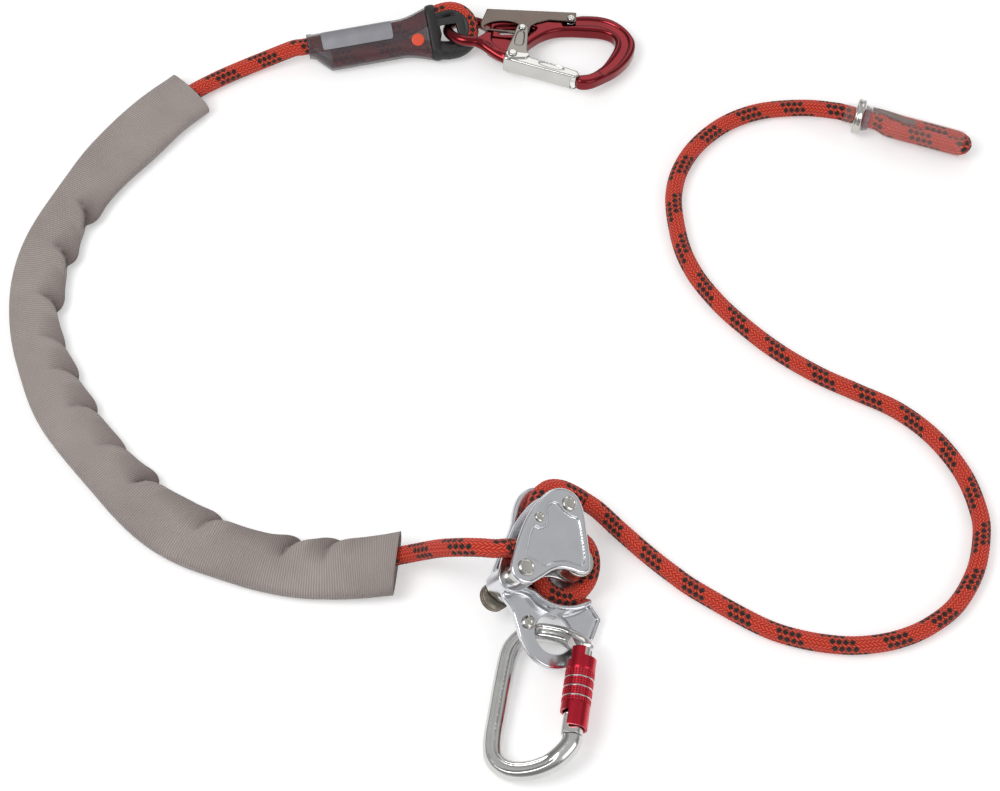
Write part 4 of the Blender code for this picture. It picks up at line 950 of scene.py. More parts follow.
def hookBody():
    half = hook["half"]
    outline = smoothOutline(hook["spine"] + hook["inside"], 4, False)
    outline += arc(hook["gatePivot"], hook["lug"], 10, -120, 8) + [(24.5, -23.9), (19, -21.4), (13.5, -17.6)]
    outline += arc((0, 0), hook["ring"] - 1.2, -46, 53, 12)
    body = flat("forged_hook", outline, -half, half, hook["edge"], 4)
    ring = roundBar("ring", [(hook["ring"] * cos(2 * pi * i / 72), hook["ring"] * sin(2 * pi * i / 72),
                              -hook["twist"] * sin(2 * pi * i / 72)) for i in range(72)], hook["bar"], True)
    rim = [(4.5, -13.6, 4.4), (9.5, -14.6, 3.2), (14.6, -17.2, 2.0), (20.2, -20.4, 1.0), (26.4, -23.2, 0.2)]
    rim = roundBar("lower_rim", smoothLine(rim, 6), hook["rim"])
    pocket = smoothOutline([(17.5, 3.5), (27, 5.6), (39, 7), (44.5, 4.5), (39, -3.5), (33.5, -12), (30.5, -17.2),
                            (25.5, -18.8), (19, -15.6), (15.2, -10), (15.4, -2.5)], 4)
    slot = smoothOutline([(34.9, 3.5), (29.6, 4.0), (24, 3.2), (20.4, 2.0), (19.4, -0.4), (21.2, -2.2), (24, -1.8),
                          (29.6, -1.1), (34.7, -1.4), (37.2, 1.2)], 4)
    deep = half - hook["web"] / 2
    channel = ribbon(hook["channel"], hook["channelHalf"])
    body = carved(softened(heaped(body, ring, rim), hook["voxel"], 1),
                  block("ring_flat", (5.5, -13, half), (26, 4, half + 6)),
                  *bothFaces("pocket", pocket, half - deep, half + 1),
                  *bothFaces("channel", channel, half - hook["channelDepth"], half + 1),
                  flat("pin_slot", slot, -half - 2, half + 2))
    body = softened(body, hook["voxel"], 8)
    for tag, at in (("gate", hook["gatePivot"]), ("lever", hook["leverPivot"])):
        body = carved(body, drum(tag + "_bore", hook["rivet"] + clearance, -half - 1, half + 1, at),
                      drum(tag + "_seat", 3.0 + hook["wire"], half - 2.6, half + 1, at))
    return body


def gateLine(offset):     # ends of the gate's outer wall, moved inwards by offset
    slope = radians(-13.6)
    normal, along = Vector((-sin(slope), cos(slope))), Vector((cos(slope), sin(slope)))
    foot = Vector(hook["gatePivot"]) - normal * (5.45 - offset)
    return foot - along * 4.4, foot + along * 41.5, foot + along * 44.5


def hookGate():
    inside = hook["half"] + clearance
    outside = inside + hook["gateSheet"]
    armIn = outside - 0.1
    armOut = armIn + hook["armSheet"]
    heel, wallEnd, nose = gateLine(0)
    outer = [tuple(heel), tuple(wallEnd), tuple(nose), (75.6, -36.4), (73.2, -32.6), (66, -30.2), (54, -27.2),
             (43, -24.4), (39.5, -21.0), (35, -18.6), (26.5, -18.6), (24.6, -23)]
    gate = flat("pressed_gate", outer, -outside, outside, hook["gateEdge"], 4)
    heelIn, endIn, _ = gateLine(hook["gateSheet"])
    inner = [tuple(heelIn - Vector((8, -2))), tuple(endIn), (wallEnd.x, wallEnd.y - 3), (90, -46), (90, -5), (15, -5)]
    arm = [(30.9, 1.2), (29.4, -7.5), (26.6, -17), (25.2, -24.5), (27.5, -28), (39, -26.5), (41.6, -23.6),
           (39.4, -19.5), (38.9, 0.8), (37.6, 3.8), (34.8, 5.0), (32.1, 3.9)]
    gate = carved(gate, flat("hollow", inner, -inside, inside))
    gate = heaped(gate, *bothFaces("arm", arm, armIn, armOut, 0.25, 1))
    panel = smoothOutline([(32.2, -3), (36.4, -3), (36.8, -12), (35.6, -15.6), (31.4, -15.4), (30.4, -12)], 3)
    oval = [(56 + 8.5 * cos(a) - 0.2 * sin(a), -30.6 - 8.5 * 0.235 * cos(a) + 2.2 * sin(a))
            for a in np.linspace(0, 2 * pi, 24, endpoint=False)]
    gate = carved(softened(gate, hook["gateVoxel"], 8),
                  *bothFaces("panel", panel, armOut - hook["panelDepth"], armOut + 1),
                  flat("oval", oval, outside - hook["ovalDepth"], outside + 1))
    gate = softened(gate, hook["gateVoxel"], 2)
    return carved(gate, drum("gate_hole", hook["rivet"] + clearance, -12, 12, hook["gatePivot"]),
                  drum("arm_hole", hook["armRivet"] + clearance, -12, 12, hook["armPin"])), armOut


def lockLever():
    inside = hook["half"] + clearance
    outside = inside + hook["leverSheet"]
    side = [(10.2, 17.0), (69.8, 21.4), (70.3, 12.5), (60, 12.2), (51.4, 11.8), (44.5, 8.4), (40.4, 4.4),
            (39.6, -1.6), (36, -4.6), (30, -4.0), (24.9, -3.2), (17.6, -3.2), (11.4, -3.0), (7.4, -0.8), (6.8, 2.5)]
    lever = flat("folded_lever", side, -outside, outside, 0.45, 2)
    under = [(0, 15.0), (10, 15.7), (80, 20.9), (90, 20.9), (90, -20), (0, -20)]
    slot = smoothOutline([(34.8, 4.4), (29.5, 6.5), (23, 7.0), (16, 5.6), (11.4, 2.9), (9.4, 0.4), (11.6, -1.3),
                          (17, -1.4), (24, -1.4), (29.5, -1.1), (34.6, -1.8), (37.7, 1.2)], 5)
    lever = carved(lever, flat("lever_hollow", under, -inside, inside), flat("lever_slot", slot, -12, 12),
                   flat("ring_relief", [(-5, 30), (18.6, 30), (18.6, 6.5), (15, 1.5), (-5, 1.5)], -12, 0.9))
    lever = softened(lever, hook["leverVoxel"], 4)
    return carved(lever, drum("lever_hole", hook["rivet"] + clearance, -12, 12, hook["leverPivot"])), outside


def buildHook(coils):
    fitted(hookBody(), "red", "hook", "hook_body", hookFrame, 50)
    gate, armOut = hookGate()
    gate.data.update()
    # painted shade: the arm's faces take the darker copy of the gate's steel
    onArm = [face.center.y > -22.5 * mm and face.center.x < 41 * mm for face in gate.data.polygons]
    fitted(gate, "gate", "hook_gate_set", "hook_gate", hookFrame, 50)
    gate.data.materials.append(looks["arm"])
    gate.data.polygons.foreach_set("material_index", [int(arm) for arm in onArm])
    lever, leverOut = lockLever()
    fitted(lever, "bronze", "hook_lever", "lock_lever", hookFrame, 50)
    for name, body, node, radius, head, height, reach, at, dimple in (
            ("gate_rivet", "hook", "hook_gate_rivet", hook["rivet"], 3.0, 1.0, armOut, hook["gatePivot"], 0),
            ("gate_arm_pin", "hook_gate_set", "arm_pin", hook["armRivet"], 2.5, 1.0, armOut, hook["armPin"], 0),
            ("lever_pivot_rivet", "hook", "lever_rivet", hook["rivet"], 2.6, 0.9, leverOut, hook["leverPivot"], 0.8)):
        reach += clearance
        fitted(rivet(name, radius, head, height, -reach, reach, at, True, dimple), "steel", body, node, hookFrame, 40)
    for name, node, at in (("gate_coil", "hook_gate_spring", hook["gatePivot"]),
                           ("lever_coil", "lever_spring", hook["leverPivot"])):
        coil = grown(name, coils, Turns=1.0, Radius=hook["coil"] * mm, Height=1.25 * mm, Wire=hook["wire"] / 2 * mm,
                     Material=looks["steel"])
        coil.data.transform(Matrix.Translation(Vector((*at, hook["half"] - 1.9)) * mm))
        fitted(coil, "steel", "hook", node, hookFrame)
    print("hook ready")


# Adjuster

device = {
    "edge": 1.7, "panelDepth": 1.1, "axle": 3.2, "head": 5.2, "headHeight": 1.4, "spacer": 6.0, "hub": 8.4,
    "topRadius": 2.6, "pinRadius": 1.9, "flare": 3.4, "voxel": 0.40, "knobRib": 8.7, "knobGroove": 7.0,
    "knobLength": 6.9,
    "hubPlace": (1.5, -3.2), "boss": 7.9, "topRivet": (50.7, 11.9), "guidePin": (28.7, 17.0),
    "trough": (30.8, -16.4), "troughRadius": 23.0, "troughWall": 2.8, "eye": (3.0, -41.5), "hole": 12.0,
    "outer": 21.0, "eyeLow": 7.8, "eyeHigh": 11.8, "screw": (-5.9, -26.8), "knob": (-3.6, -3.9),
    "cheek": [(-9.8, -0.9), (-8.4, 4.0), (-4.4, 7.9), (2.6, 12.3), (12, 17.3), (22.6, 21.8), (32.1, 24.3),
              (40.4, 25.4), (47.4, 24.9), (53.2, 22.4), (57, 18.6), (58.8, 13.8), (58.2, 8), (54.4, 0.2),
              (47.8, -8.8), (41.8, -17), (37.6, -22.2), (34, -25.2), (30.4, -25.2), (26.6, -22.6), (23, -17.8),
              (18.4, -13.4), (12.4, -11.2), (4, -10.4), (-3.6, -8.9), (-8.1, -5.4)],
    "panel": [(5.2, 5.2), (10.8, 9.2), (16.6, 13.2), (22, 15.2), (24.4, 12.4), (29, 11.2), (33, 14.2), (35.6, 18.2),
              (40.8, 19.4), (44.4, 16.8), (44.8, 11.2), (46.6, 5.8), (49, 1.2), (43.2, -8), (36.2, -17.4),
              (32.4, -20.2), (28.8, -18.2), (24.4, -12.4), (17.4, -8.2), (10.8, -6.4), (8.6, -1.2)],
    "wall": [(-6.8, -1.5), (-4.4, 4.6), (3, 9.6), (13, 14.2), (23, 18.2), (31.8, 22.6), (36.6, 26.4), (42, 30),
             (48.4, 32.6), (55.4, 32.9), (61.6, 30), (65.6, 24), (66, 15.4), (61, 4), (54, -9), (47, -24),
             (38.5, -34.6), (28, -37.4), (16, -33.6), (8, -26), (3, -17.6), (-3.4, -11.8), (-6.6, -6.8)],
}


def cheekHoles(cheek, low, high):
    return carved(cheek, *(drum(name, radius + clearance, low - 1, high + 1, at) for name, radius, at in (
        ("axle_hole", device["axle"], (0, 0)), ("top_hole", device["topRadius"], device["topRivet"]),
        ("pin_hole", device["pinRadius"], device["guidePin"]))))


def buildCheeks():
    def part(made, node, look="steel", sharp=40):
        fitted(made, look, mainBody, node, deviceFrame, sharp)

    outline = smoothOutline(device["cheek"], 5)
    low, high = stack["frontLow"], stack["frontHigh"]
    front = carved(flat("dished_cheek", outline, low, high, device["edge"], 4),
                   flat("panel", smoothOutline(device["panel"], 5), high - device["panelDepth"], high + 1))
    part(cheekHoles(softened(front, device["voxel"], 6), low, high), "cheek_front", "plate", 50)
    low, high = stack["middleLow"], stack["middleHigh"]
    spigot = bobbin["radius"] * 0.45
    middle = cheekHoles(flat("inner_cheek", outline, low, high, 0.7), low, high)
    part(carved(middle, drum("bobbin_hole", spigot + clearance, low - 1, high + 1, bobbin["place"])), "cheek_middle",
         "plate")

    low, high = stack["middleHigh"] + clearance, stack["frontLow"] - clearance
    foot = stack["middleLow"] + 0.2
    wide, thin = bobbin["flange"], bobbin["radius"]
    part(turned("rope_bobbin", [(0, high), (wide, high), (wide, high - 1.2), (thin, high - 2.6), (thin, low + 2.6),
                                (wide, low + 1.2), (wide, low), (spigot, low), (spigot, foot), (0, foot)],
                bobbin["place"], 0.5), "bobbin")
    for name, node, outer, inner, at in (("rivet_spacer", "top_spacer", 5.0, 2.9, device["topRivet"]),
                                         ("axle_collar", "axle_spacer", device["spacer"], 3.5, (0, 0))):
        part(turned(name, [(outer, high), (outer, low), (inner, low), (inner, high)], at, 0.3, True), node)
    low, high = stack["middleLow"] - clearance, stack["frontHigh"] + clearance
    back = stack["wallLow"] - clearance     # where the knob begins
    headHeight = device["headHeight"]
    part(rivet("cheek_rivet", device["topRadius"], 4.6, headHeight, low, high, device["topRivet"], True, 2.6),
         "top_rivet")
    part(rivet("rope_guide_pin", device["pinRadius"], 3.1, 0.9, low, high, device["guidePin"], True, 1.5), "guide_pin")
    part(rivet("main_axle", device["axle"], device["head"], headHeight, back - 6.2, high, (0, 0), False, 3.7), "axle")
    profile = [(0, back), (7.2, back)]
    rib, groove, tip = device["knobRib"], device["knobGroove"], back - device["knobLength"]
    for i in range(3):
        top = back - 0.2 - 2.1 * i
        profile += [(groove, top - 0.1), (rib, top - 0.5), (rib, top - 1.3), (groove, top - 1.75)]
    profile += [(7.4, tip + 0.4), (6.8, tip), (0, tip)]
    knob = turned("ribbed_knob", profile, device["knob"], 0.15, sides=72)
    part(carved(knob, drum("knob_bore", 3.5, back - 9, back + 2)), "rear_knob", "knob")
    print("cheeks ready")


def buildFrame():
    low, high = stack["wallLow"], stack["wallHigh"]
    eyeLow, eyeHigh = device["eyeLow"], device["eyeHigh"]
    body = flat("cast_frame", smoothOutline(device["wall"], 4), low, high, 0.9)
    centre, radius, wall = device["trough"], device["troughRadius"], device["troughWall"]
    rise = [(0.5, -7.0, 15.6), (4.2, -10.6, 17.0)]
    rise += [(x, y, min(24.0, 18.2 + 0.85 * i)) for i, (x, y) in enumerate(arc(centre, radius + 1, 178, 262, 8))]
    rise += [(31.6, -40.7, 21.5), (34.6, -42.0, 15.0)]
    trough = ridgeWall("trough", smoothLine(rise, 8), wall / 2, device["flare"], 1.6, eyeHigh - 0.6)
    outline = (arc(device["eye"], device["outer"], -62, -196, 32) +
               [(-15.6, -29.5), (-12.0, -22.4), (-9.4, -16.8), (-8.4, -12.2), (-8.8, -7)] +
               arc(device["hubPlace"], device["hub"] - 0.5, 170, 20, 12) + [(8.6, -4.6)] +
               arc(centre, radius + wall / 2, 174, 272, 24) + [(34.6, -40.6), (33.6, -53.2), (20.5, -59.2)])
    ledge = [(34.8, -41.6), (33.8, -53.4), (20.5, -59.4), (19.0, -57.8), (31.9, -51.9), (32.8, -41.8)]
    body = heaped(body, drum("hub", device["hub"], low + 1.2, eyeHigh, device["hubPlace"], 0.8),
                  drum("boss", device["boss"], low + 0.1, stack["middleLow"] - clearance, (0, 0), 0.5), trough,
                  flat("eye_plate", outline, eyeLow, eyeHigh, 0.8), flat("ledge", ledge, eyeLow + 0.1, eyeHigh + 2.0))
    hole, wide = device["hole"], device["hole"] + 0.9
    profile = [(0, 20), (wide, 20), (wide, eyeHigh + 0.2), (hole, eyeHigh - 0.9), (hole, eyeLow + 0.9),
               (wide, eyeLow - 0.2), (wide, 0), (0, 0)]
    body = carved(softened(body, device["voxel"], 22), turned("hole", profile, device["eye"], 0.0, sides=96),
                  drum("axle_bore", device["axle"] + clearance, -2, 24),
                  drum("screw_bore", 2.4, 0, 16, device["screw"]))
    fitted(body, "plate", "adjuster_frame", "frame_plate", deviceFrame, 45)

    top, seat = eyeHigh + 2.6, eyeHigh + clearance
    screw = turned("socket_screw", [(0, top), (2.5, top), (4.0, top - 0.9), (4.2, seat), (2.1, seat), (2.1, eyeLow),
                                    (0, eyeLow)], device["screw"], 0.35, sides=48)
    socket = turned("socket", [(0, top + 1), (1.45, top + 1), (1.45, top - 1.5), (0, top - 1.9)], device["screw"], 0.0,
                    sides=6)
    fitted(carved(screw, socket), "steel", "adjuster_frame", "captive_screw", deviceFrame, 40)
    print("frame ready")


# Carabiner

def carabinerFrame():
    yaw, pitch, tilt = radians(72.0), radians(4.2), radians(14.0)
    length = Vector((cos(yaw) * cos(pitch), sin(yaw) * cos(pitch), sin(pitch)))
    level = Vector((sin(yaw), -cos(yaw), 0))
    across = level * cos(tilt) + level.cross(length) * sin(tilt)
    middle = worldPoint(deviceFrame, *device["eye"], (device["eyeLow"] + device["eyeHigh"]) / 2)
    return frameOf(middle, across, length)


biner = {
    "frame": carabinerFrame(), "bar": 5.9, "gate": 5.2, "pin": (21.6, -8.6), "end": (30.2, -57.0), "tongue": 4.2,
    "thick": 4.0, "pinRadius": 1.5, "sleeve": 8.5, "wall": 1.3, "top": 3.0, "bottom": -45.2,
    "band": (-10.4, -30.2), "sides": 72, "voxel": 0.42, "troughDepth": 0.24,     # the depth as a share of the bar
    "knurls": ((0.9, 3), (6.4, 3), (12.2, 3), (17.9, 2)),     # where each band begins, and its rows
    "bead": (1.0, 0.9, 0.8), "beadPitch": 1.45, "beadCount": 30, "beadSunk": 0.4, "grooves": (-15.6, -21.4, -27.2),
    "bow": [(15.2, -1.6), (8, 0.2), (0, 0.4), (-8, -0.4), (-15.2, -3.6), (-19.8, -9.6), (-21.4, -18), (-19.3, -36),
            (-16.5, -54), (-13.8, -70), (-9.8, -79.8), (-2, -84.6), (7, -84.6), (17, -80.6), (25.4, -73.4)],
}


def carabinerBar(line):     # bent bar with a shallow trough along both broad faces, between two rails
    total = runsOf(line)[-1]
    runs = np.linspace(0, total, 420)
    centres = spaced(line, runs)
    ahead = headings(centres)
    side = np.stack([ahead[:, 1], -ahead[:, 0], np.zeros(len(runs))], axis=1)
    angle = 2 * pi * np.arange(biner["sides"]) / biner["sides"]
    fade = smoothStep(np.clip((runs - 14) / 14, 0, 1) * np.clip((total - 16 - runs) / 12, 0, 1))[:, None]
    dip = smoothStep((0.46 - np.abs(np.cos(angle) + 0.06)) / 0.16) * fade
    out = biner["bar"] * np.cos(angle) * (1 - 0.03 * fade)
    squarer = 1 - 0.05 * fade * (1 - np.abs(np.sin(angle)) ** 0.86)
    up = biner["bar"] * np.sin(angle) * (1 - biner["troughDepth"] * dip) * squarer
    rings = centres[:, None] + side[:, None] * out[..., None] + np.array((0, 0, 1)) * up[..., None]
    return softened(gridMesh("grooved_body", rings * mm, runs * mm), biner["voxel"], 3)


def buildCarabiner(knurls):
    matrix, polished = biner["frame"], "polished"
    pin, end = Vector((*biner["pin"], 0)), Vector((*biner["end"], 0))
    axis = (end - pin).normalized()
    across = Vector((axis.y, -axis.x, 0))
    radius, wide, half = biner["gate"], biner["tongue"], biner["thick"] / 2
    shoulder = pin - axis * (wide + 1.6)
    line = smoothLine([pin + axis * (wide + 1), pin - axis * 4] + [Vector((x, y, 0)) for x, y in biner["bow"]] +
                      [end + axis * 5.5, end - axis * 2], 16)
    body = carabinerBar(np.array([list(p) for p in line]))

    def square(centre, back, front, halfWidth):
        corners = ((back, -halfWidth), (front, -halfWidth), (front, halfWidth), (back, halfWidth))
        return [(centre + axis * a + across * b).xy for a, b in corners]

    foot = shoulder + axis * 0.03     # just past the shoulder's own cut
    beyond = shoulder + axis * 21
    rounding = ([foot + across * wide] +
                [pin + across * wide * cos(radians(a)) + axis * wide * sin(radians(a)) for a in range(0, 181, 8)] +
                [foot - across * wide, foot - across * 9.6, beyond - across * 9.6, beyond + across * 9.6,
                 foot + across * 9.6])
    room = [pin + across * a - axis * up for a, up in ((-0.6, 5.9), (6.3, 8.8), (9.8, 5.0), (-0.6, 5.3))]
    bore = drum("hinge_bore", biner["pinRadius"] + clearance, -8, 8, biner["pin"])
    body = carved(body, flat("barrel_room", [p.xy for p in room], -8.4, 8.4),
                  *bothFaces("tongue", square(shoulder, 0, 20, 9), half, 9),
                  flat("tongue_round", [p.xy for p in rounding], -9, 9),
                  flat("nose_end", square(end, -9, 0.8, 9), -9, 9), bore)
    fitted(body, polished, "carabiner", "carabiner_body", matrix, 42)

    lock = Matrix(((across.x, 0, -axis.x, pin.x * mm), (across.y, 0, -axis.y, pin.y * mm), (0, -1, 0, 0), (0, 0, 0, 1)))
    wideEnd, foot = radius + 1.1, -(end - pin).length
    gate = turned("turned_gate", [(0, 4.0), (radius, 4.0), (radius, foot + 13.4), (wideEnd, foot + 12.2),
                                  (wideEnd, foot), (0, foot)], (0, 0), 0.45)
    gate = carved(gate, block("flat_up", (-9, -9, foot - 1), (9, -radius, foot + 11.5)),
                  block("flat_down", (-9, radius, foot - 1), (9, 9, foot + 11.5)))
    gate.data.transform(lock)
    gate = carved(gate, flat("gate_slot", square(pin, -12, wide + 1.6, 9), -half - clearance, half + clearance),
                  drum("gate_bore", biner["pinRadius"] + 0.2, -8, 8, biner["pin"]))
    fitted(gate, polished, "carabiner_gate_set", "carabiner_gate", matrix, 35)
    fitted(drum("hinge_pin", biner["pinRadius"], -radius * 0.93, radius * 0.93, biner["pin"], 0.3, 32), "steel",
           "carabiner_gate_set", "gate_hinge_pin", matrix, 40)

    matrix = matrix @ lock
    inner, outer = radius + clearance, radius + clearance + 1.2
    ring = turned("inner_guide", [(outer, -20), (outer, -29), (inner, -29), (inner, -20)], (0, 0), 0.3, True)
    fitted(ring, "steel", "gate_guide", "guide_ring", matrix, 40)
    top, bottom, outside = biner["top"], biner["bottom"], biner["sleeve"]
    bore, waist = outside - biner["wall"], outside - 0.35
    bandTop, bandLow = biner["band"]
    profile = [(outside - 0.3, top), (outside, top - 0.5), (outside, bandTop + 0.6), (waist, bandTop), (waist, bandLow),
               (outside, bandLow - 0.6), (outside, bottom), (bore, bottom), (bore, top)]
    body = carved(turned("lock_barrel", profile, (0, 0), 0.22, True, 96),
                  block("inner_notch", (4.4, -12, top - 8.0), (12, 12, top + 2)),
                  block("outer_notch", (-12, -12, top - 5.5), (-3.4, 12, top + 2)),
                  block("lower_notch", (1.5, -12, bottom - 2), (12, 12, bottom + 9.5)))
    fitted(body, "redSleeve", "gate_lock", "lock_sleeve", matrix, 40)
    bands = []
    # the knurl beads take the lighter red, a painted highlight
    for i, (start, rows) in enumerate(biner["knurls"]):
        band = grown("knurl_%d" % i, knurls, Count=biner["beadCount"], Rows=rows, Pitch=-biner["beadPitch"] * mm,
                     Radius=(outside - biner["beadSunk"]) * mm, Size=Vector(biner["bead"]) * mm,
                     Material=looks["knurl"])
        band.data.transform(Matrix.Translation((0, 0, (bandTop - start) * mm)))
        bands.append(band)
    knurl = heaped(*bands)
    knurl.name = "lock_knurling"
    fitted(knurl, "knurl", "gate_lock", None, matrix, 30)
    for i, at in enumerate(biner["grooves"]):
        rim, deep = outside - 0.02, outside - 0.6
        profile = [(rim, at + 0.42), (rim, at - 0.42), (deep, at - 0.42), (deep, at + 0.42)]
        fitted(turned("lock_band_%d" % i, profile, (0, 0), 0.18, True, 96), polished, "gate_lock", None, matrix, 40)
    print("carabiner ready")


# Sewn eye's covers

eye = {
    "bore": 6.0, "wall": 1.1, "mouth": -14.5, "collar": 6.4, "lip": 5.9, "lipRadius": 6.35, "legRadius": 6.2,
    "legEnd": -2.0, "label": (-85.0, -38.0), "labelFlat": 6.2, "labelTurn": 62.0, "labelCorner": 1.6,
    "labelLift": (0.34, 0.06), "dot": (-22.5, -4.2), "dotRadius": 4.2, "dotTop": 7.72,
    "seam": (-80.0, -28.0), "seamShift": 0.4, "seamHeight": 5.2, "seamBow": 0.04,
    "low": ((-94.5, -0.6), (-91.5, -1.6), (-87, -6.5), (-81.5, -11.75)),     # the cover's near side at its open end
}
seam = {"spacing": 0.84, "stitch": (0.55, 5.0, 0.95), "seed": 4}


def stadium(x, low, high, half, ridge=0.0):     # outline across two strands side by side
    angle = 2 * pi * np.arange(96) / 96
    c = np.cos(angle)
    reach = half + ridge * bell(angle - pi, 0.09)
    centre = np.where(c >= 0, high - half, low + half)
    return np.stack([np.full(96, x), centre + reach * c, reach * np.sin(angle)], axis=1)


def coverRings(stations, grow, ridge=0.0):
    rings = []
    for x in stations:
        high = strandOffset(x) + eye["bore"]
        low = -high if x > eye["low"][-1][0] else np.interp(x, *zip(*eye["low"]))
        wide = grow + (0.6 if x < -91.2 and grow else 0.0)     # the open end has a cuff
        rings.append(placed(stadium(x, low - wide, high + wide, eye["bore"] + wide, ridge), eyeFrame))
    return np.array(rings)


def satin(name, node, stitches, start, end, matrix, bend):     # a band of close stitches, laid onto what it is sewn to
    line = polyCurve(name, [(start + (end - start) * i / 20, 0, 0) for i in range(21)])
    band = grown(name, stitches, line, Spacing=seam["spacing"] * mm, Size=Vector(seam["stitch"]) * mm,
                 Seed=seam["seed"], Material=looks["thread"])
    for vert in band.data.vertices:
        vert.co = Vector(bend(*(vert.co / mm))) * mm
    fitted(band, "thread", mainBody, node, matrix)


def buildTermination(stitches):
    outerX = np.concatenate([np.linspace(-94.5, -91.3, 5), np.linspace(-91.0, eye["mouth"], 80)])
    innerX = np.linspace(-94.5, eye["mouth"], 50)
    cover = shellMesh("smoked_boot", coverRings(outerX, eye["wall"], 0.55), outerX * mm, coverRings(innerX, 0.0),
                      innerX * mm)
    fitted(cover, "smoke", mainBody, "termination_cover")

    lip, start = eye["lip"], eye["mouth"] + 0.3
    channel = [p for p in eyeLine() if p.x > start]
    inner = [(p.x * 0.93 if p.x > 0 else p.x, p.y * 0.93) for p in channel]
    thimble = combined(roundBar("moulded_thimble", channel, eye["lipRadius"]), [flat("inward", inner, -lip, lip)],
                       "INTERSECT")
    leg = [p for p in channel if p.y < 0 and p.x < eye["legEnd"]]
    half = eye["bore"] + eye["wall"] + 0.5
    rings = [stadium(start + x, -strandOffset(start + x) - wide, strandOffset(start + x) + wide, wide)
             for x, wide in ((0, half), (2.4, half), (4.2, half - 0.5), (eye["collar"], half - 1.6))]
    collar = settled(gridMesh("collar", np.array(rings) * mm, np.arange(4.0)))
    near = [p for p in channel if p.y < -3 and -3 < p.x < 10.5]
    beyond = [(p.x * 0.98, p.y * 0.98) for p in near] + [(p.x * 1.9, p.y * 1.9) for p in near[::-1]]
    nearLip = combined(roundBar("near_lip", near, eye["legRadius"] - 0.2), [flat("outward", beyond, -6, 6)],
                       "INTERSECT")
    web = [(-10, 7), (-8.6, 4.4), (-6.4, 2.4), (-6.0, -2.4), (-6.6, -4.4), (-8.2, -7), (-10, -7)]
    farLip = [(-10, 8), (-10, 3.6), (-6, 2.8), (3.4, 2.6), (8.6, 2.2), (8.6, 8)]
    fill = [(4.4, 2), (4.6, -2.6), (5.8, -5.6), (6.2, -8), (9.4, -7), (9.4, 7), (6.6, 8), (5.2, 3.6)]
    thimble = softened(heaped(thimble, roundBar("near_leg", leg, eye["legRadius"]), collar, flat("web", web, -4.6, 5.2),
                              flat("far_lip", farLip, 4.4, lip), flat("eye_fill", fill, -1.2, lip - 0.1), nearLip),
                       0.45, 6)
    fitted(thimble, "black", mainBody, "eye_thimble", eyeFrame)

    first, last = eye["label"]
    skin = eye["bore"] + eye["wall"]
    rings = []
    flatPart, corner = eye["labelFlat"], eye["labelCorner"]
    for x in np.linspace(first, last, 60):
        cut = corner - (corner ** 2 - max(0, abs(x - (first + last) / 2) - (last - first) / 2 + corner) ** 2) ** 0.5
        path = np.linspace(cut, flatPart + skin * radians(eye["labelTurn"]) - cut, 26)
        ring = []
        for lift, order in zip(eye["labelLift"], (path, path[::-1])):
            for s in order:
                turn = max(0, s - flatPart) / skin
                ring.append((x, min(s, flatPart) - 0.4 + (skin + lift) * sin(turn), (skin + lift) * cos(turn)))
        rings.append(placed(ring, eyeFrame))
    fitted(settled(gridMesh("blank_label", np.array(rings), np.arange(60.0))), "label", mainBody, "termination_label",
           None, 40)
    wide, top = eye["dotRadius"], eye["dotTop"]
    profile = [(0, top), (wide - 0.8, top - 0.06), (wide - 0.05, top - 0.32), (wide, top - 0.72), (0, top - 0.72)]
    fitted(turned("orange_dot", profile, eye["dot"], 0.2), "dot", mainBody, "marker_dot", eyeFrame, 50)
    satin("eye_seam", "eye_stitching", stitches, *eye["seam"], eyeFrame,
          lambda x, y, z: (x, y + eye["seamShift"], eye["seamHeight"] + z - eye["seamBow"] * y * y))
    print("termination ready")


# End stop

tail = {
    "half": 2.8, "ring": 11.8, "bore": 6.3, "start": 11.0, "end": 69.0, "tip": 75.0, "gap": 5.75, "wall": 0.7,
    "spare": 0.35, "lean": 28.0, "seam": (8.0, 36.0), "seamTurn": 34.0, "foldStart": 0.004, "stub": 12.5,
    "stubOffset": 7.2, "stubRadius": 3.2, "stubLift": 2.6,
}
tailAxis = Matrix(((0, 0, 1, 0), (1, 0, 0, 0), (0, 1, 0, 0), (0, 0, 0, 1)))     # a turned piece's z onto the tail's x


def leaned(x, across, up):     # the fold's plane leans, so its doubled-back strand lies low on the far side
    tilt = radians(tail["lean"])
    return x, up * sin(tilt) - across * cos(tilt), up * cos(tilt) + across * sin(tilt)


def drift(x):     # how far the outgoing strand is from the middle
    return tail["gap"] * smoothStep((x - tail["start"]) / 11)


def backStrand(x):     # offset, radius and lift of the strand that comes back, thinned towards its sewn end
    t = smoothStep((x - tail["stub"]) / 20)
    offset, radius = tail["stubOffset"], tail["stubRadius"]
    return offset + (tail["gap"] - offset) * t, radius + (rope["radius"] - radius) * t, tail["stubLift"] * (1 - t)


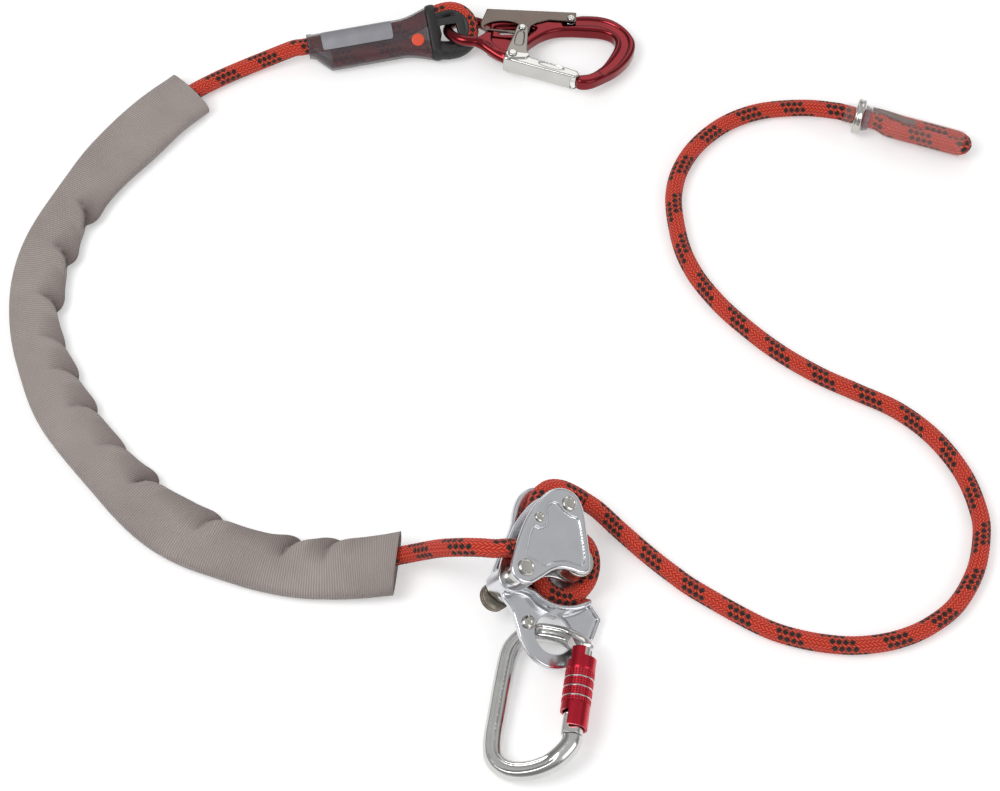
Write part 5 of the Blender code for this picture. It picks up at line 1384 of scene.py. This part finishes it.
def buildStop(stitches):
    matrix = stopFrame @ tailAxis
    half, ring, bore = tail["half"], tail["ring"], tail["bore"]
    side = [(bore, half - 0.6), (bore + 0.7, half), (ring - 1.3, half), (ring - 0.35, half - 0.5), (ring, half - 1.25),
            (ring - 0.25, half - 2.2), (ring - 0.5, 0)]
    inside = rope["radius"] + 0.5
    out = inside + 0.9
    back, face = -half - clearance, half + clearance
    collar = [(out + 1.2, back), (out + 0.9, back - 1.2), (out + 0.2, back - 2.4), (out, back - 6.5),
              (inside, back - 6.5), (inside, back)]
    cup = [(8.4, face), (8.2, face + 1.2), (7.6, face + 2.6), (7.1, face + 4.2), (6.6, face + 4.2), (bore, face + 3.4),
           (bore, face)]
    endRing = fitted(turned("ridged_ring", side + [(r, -h) for r, h in side[-2::-1]], (0, 0), 0.35, True, 96), "steel",
                     mainBody, "stop_ring", matrix, 45)
    fitted(turned("clear_collar", collar, (0, 0), 0.3, True), "clear", mainBody, "stop_collar", matrix, 60)
    fitted(turned("frosted_cup", cup, (0, 0), 0.5, True), "cup", mainBody, "cup_washer", matrix, 60)

    bendAt = tail["tip"] - tail["gap"] - rope["radius"]
    points = ([(x, drift(x), 0) for x in np.linspace(tail["start"], bendAt, 30)] +
              [(bendAt + tail["gap"] * sin(radians(a)), tail["gap"] * cos(radians(a)), 0) for a in range(10, 180, 10)] +
              [(x, -backStrand(x)[0], backStrand(x)[2]) for x in np.linspace(bendAt, tail["stub"], 30)])
    line = placed([leaned(*p) for p in points], stopFrame)
    total = runsOf(line)[-1]
    runs = finePieces(total)
    thin = np.array([backStrand(tail["stub"] + (total - run) / mm)[1] for run in runs])
    fold, _ = ropeMesh("braided_fold", line, runs, thin[:, None], tail["foldStart"])
    fitted(fold, "rope", mainBody, "tail_fold")

    skins = []
    for grow, count in ((tail["spare"] + tail["wall"], 60), (tail["spare"], 40)):
        stations = np.linspace(face + 0.2, tail["end"], count)
        rings = []
        for x in stations:
            reach = rope["radius"] + grow + 2.4 * np.exp((face - x) / 2.0)
            offset, radius, _ = backStrand(max(x, tail["stub"]))
            low = max(offset + radius + grow, reach)
            high = drift(x + 1.2) + reach
            ring = stadium(x, -low, high, reach)
            rings.append(placed([leaned(*p) for p in ring], stopFrame))
        skins += [np.array(rings), stations * mm]
    fitted(shellMesh("clear_boot", *skins), "clear", mainBody, "tail_cover")

    def onStrand(x, y, z):
        offset, radius, lift = backStrand(max(x, tail["stub"]))
        turn = radians(tail["seamTurn"]) - y / radius
        return leaned(x, -offset + (radius + z + 0.1) * sin(turn), lift + (radius + z + 0.1) * cos(turn))

    satin("tail_seam", "tail_stitching", stitches, *tail["seam"], stopFrame, onStrand)
    print("end stop ready")
    return endRing


buildStudio()
looks = makeLooks()
coils, knurls, stitches = coilTree(), knurlTree(), stitchTree()
endRing = buildStop(stitches)
buildRope()
buildEyeRope()
buildTermination(stitches)
buildSleeve()
buildHook(coils)
buildCheeks()
buildFrame()
buildCarabiner(knurls)
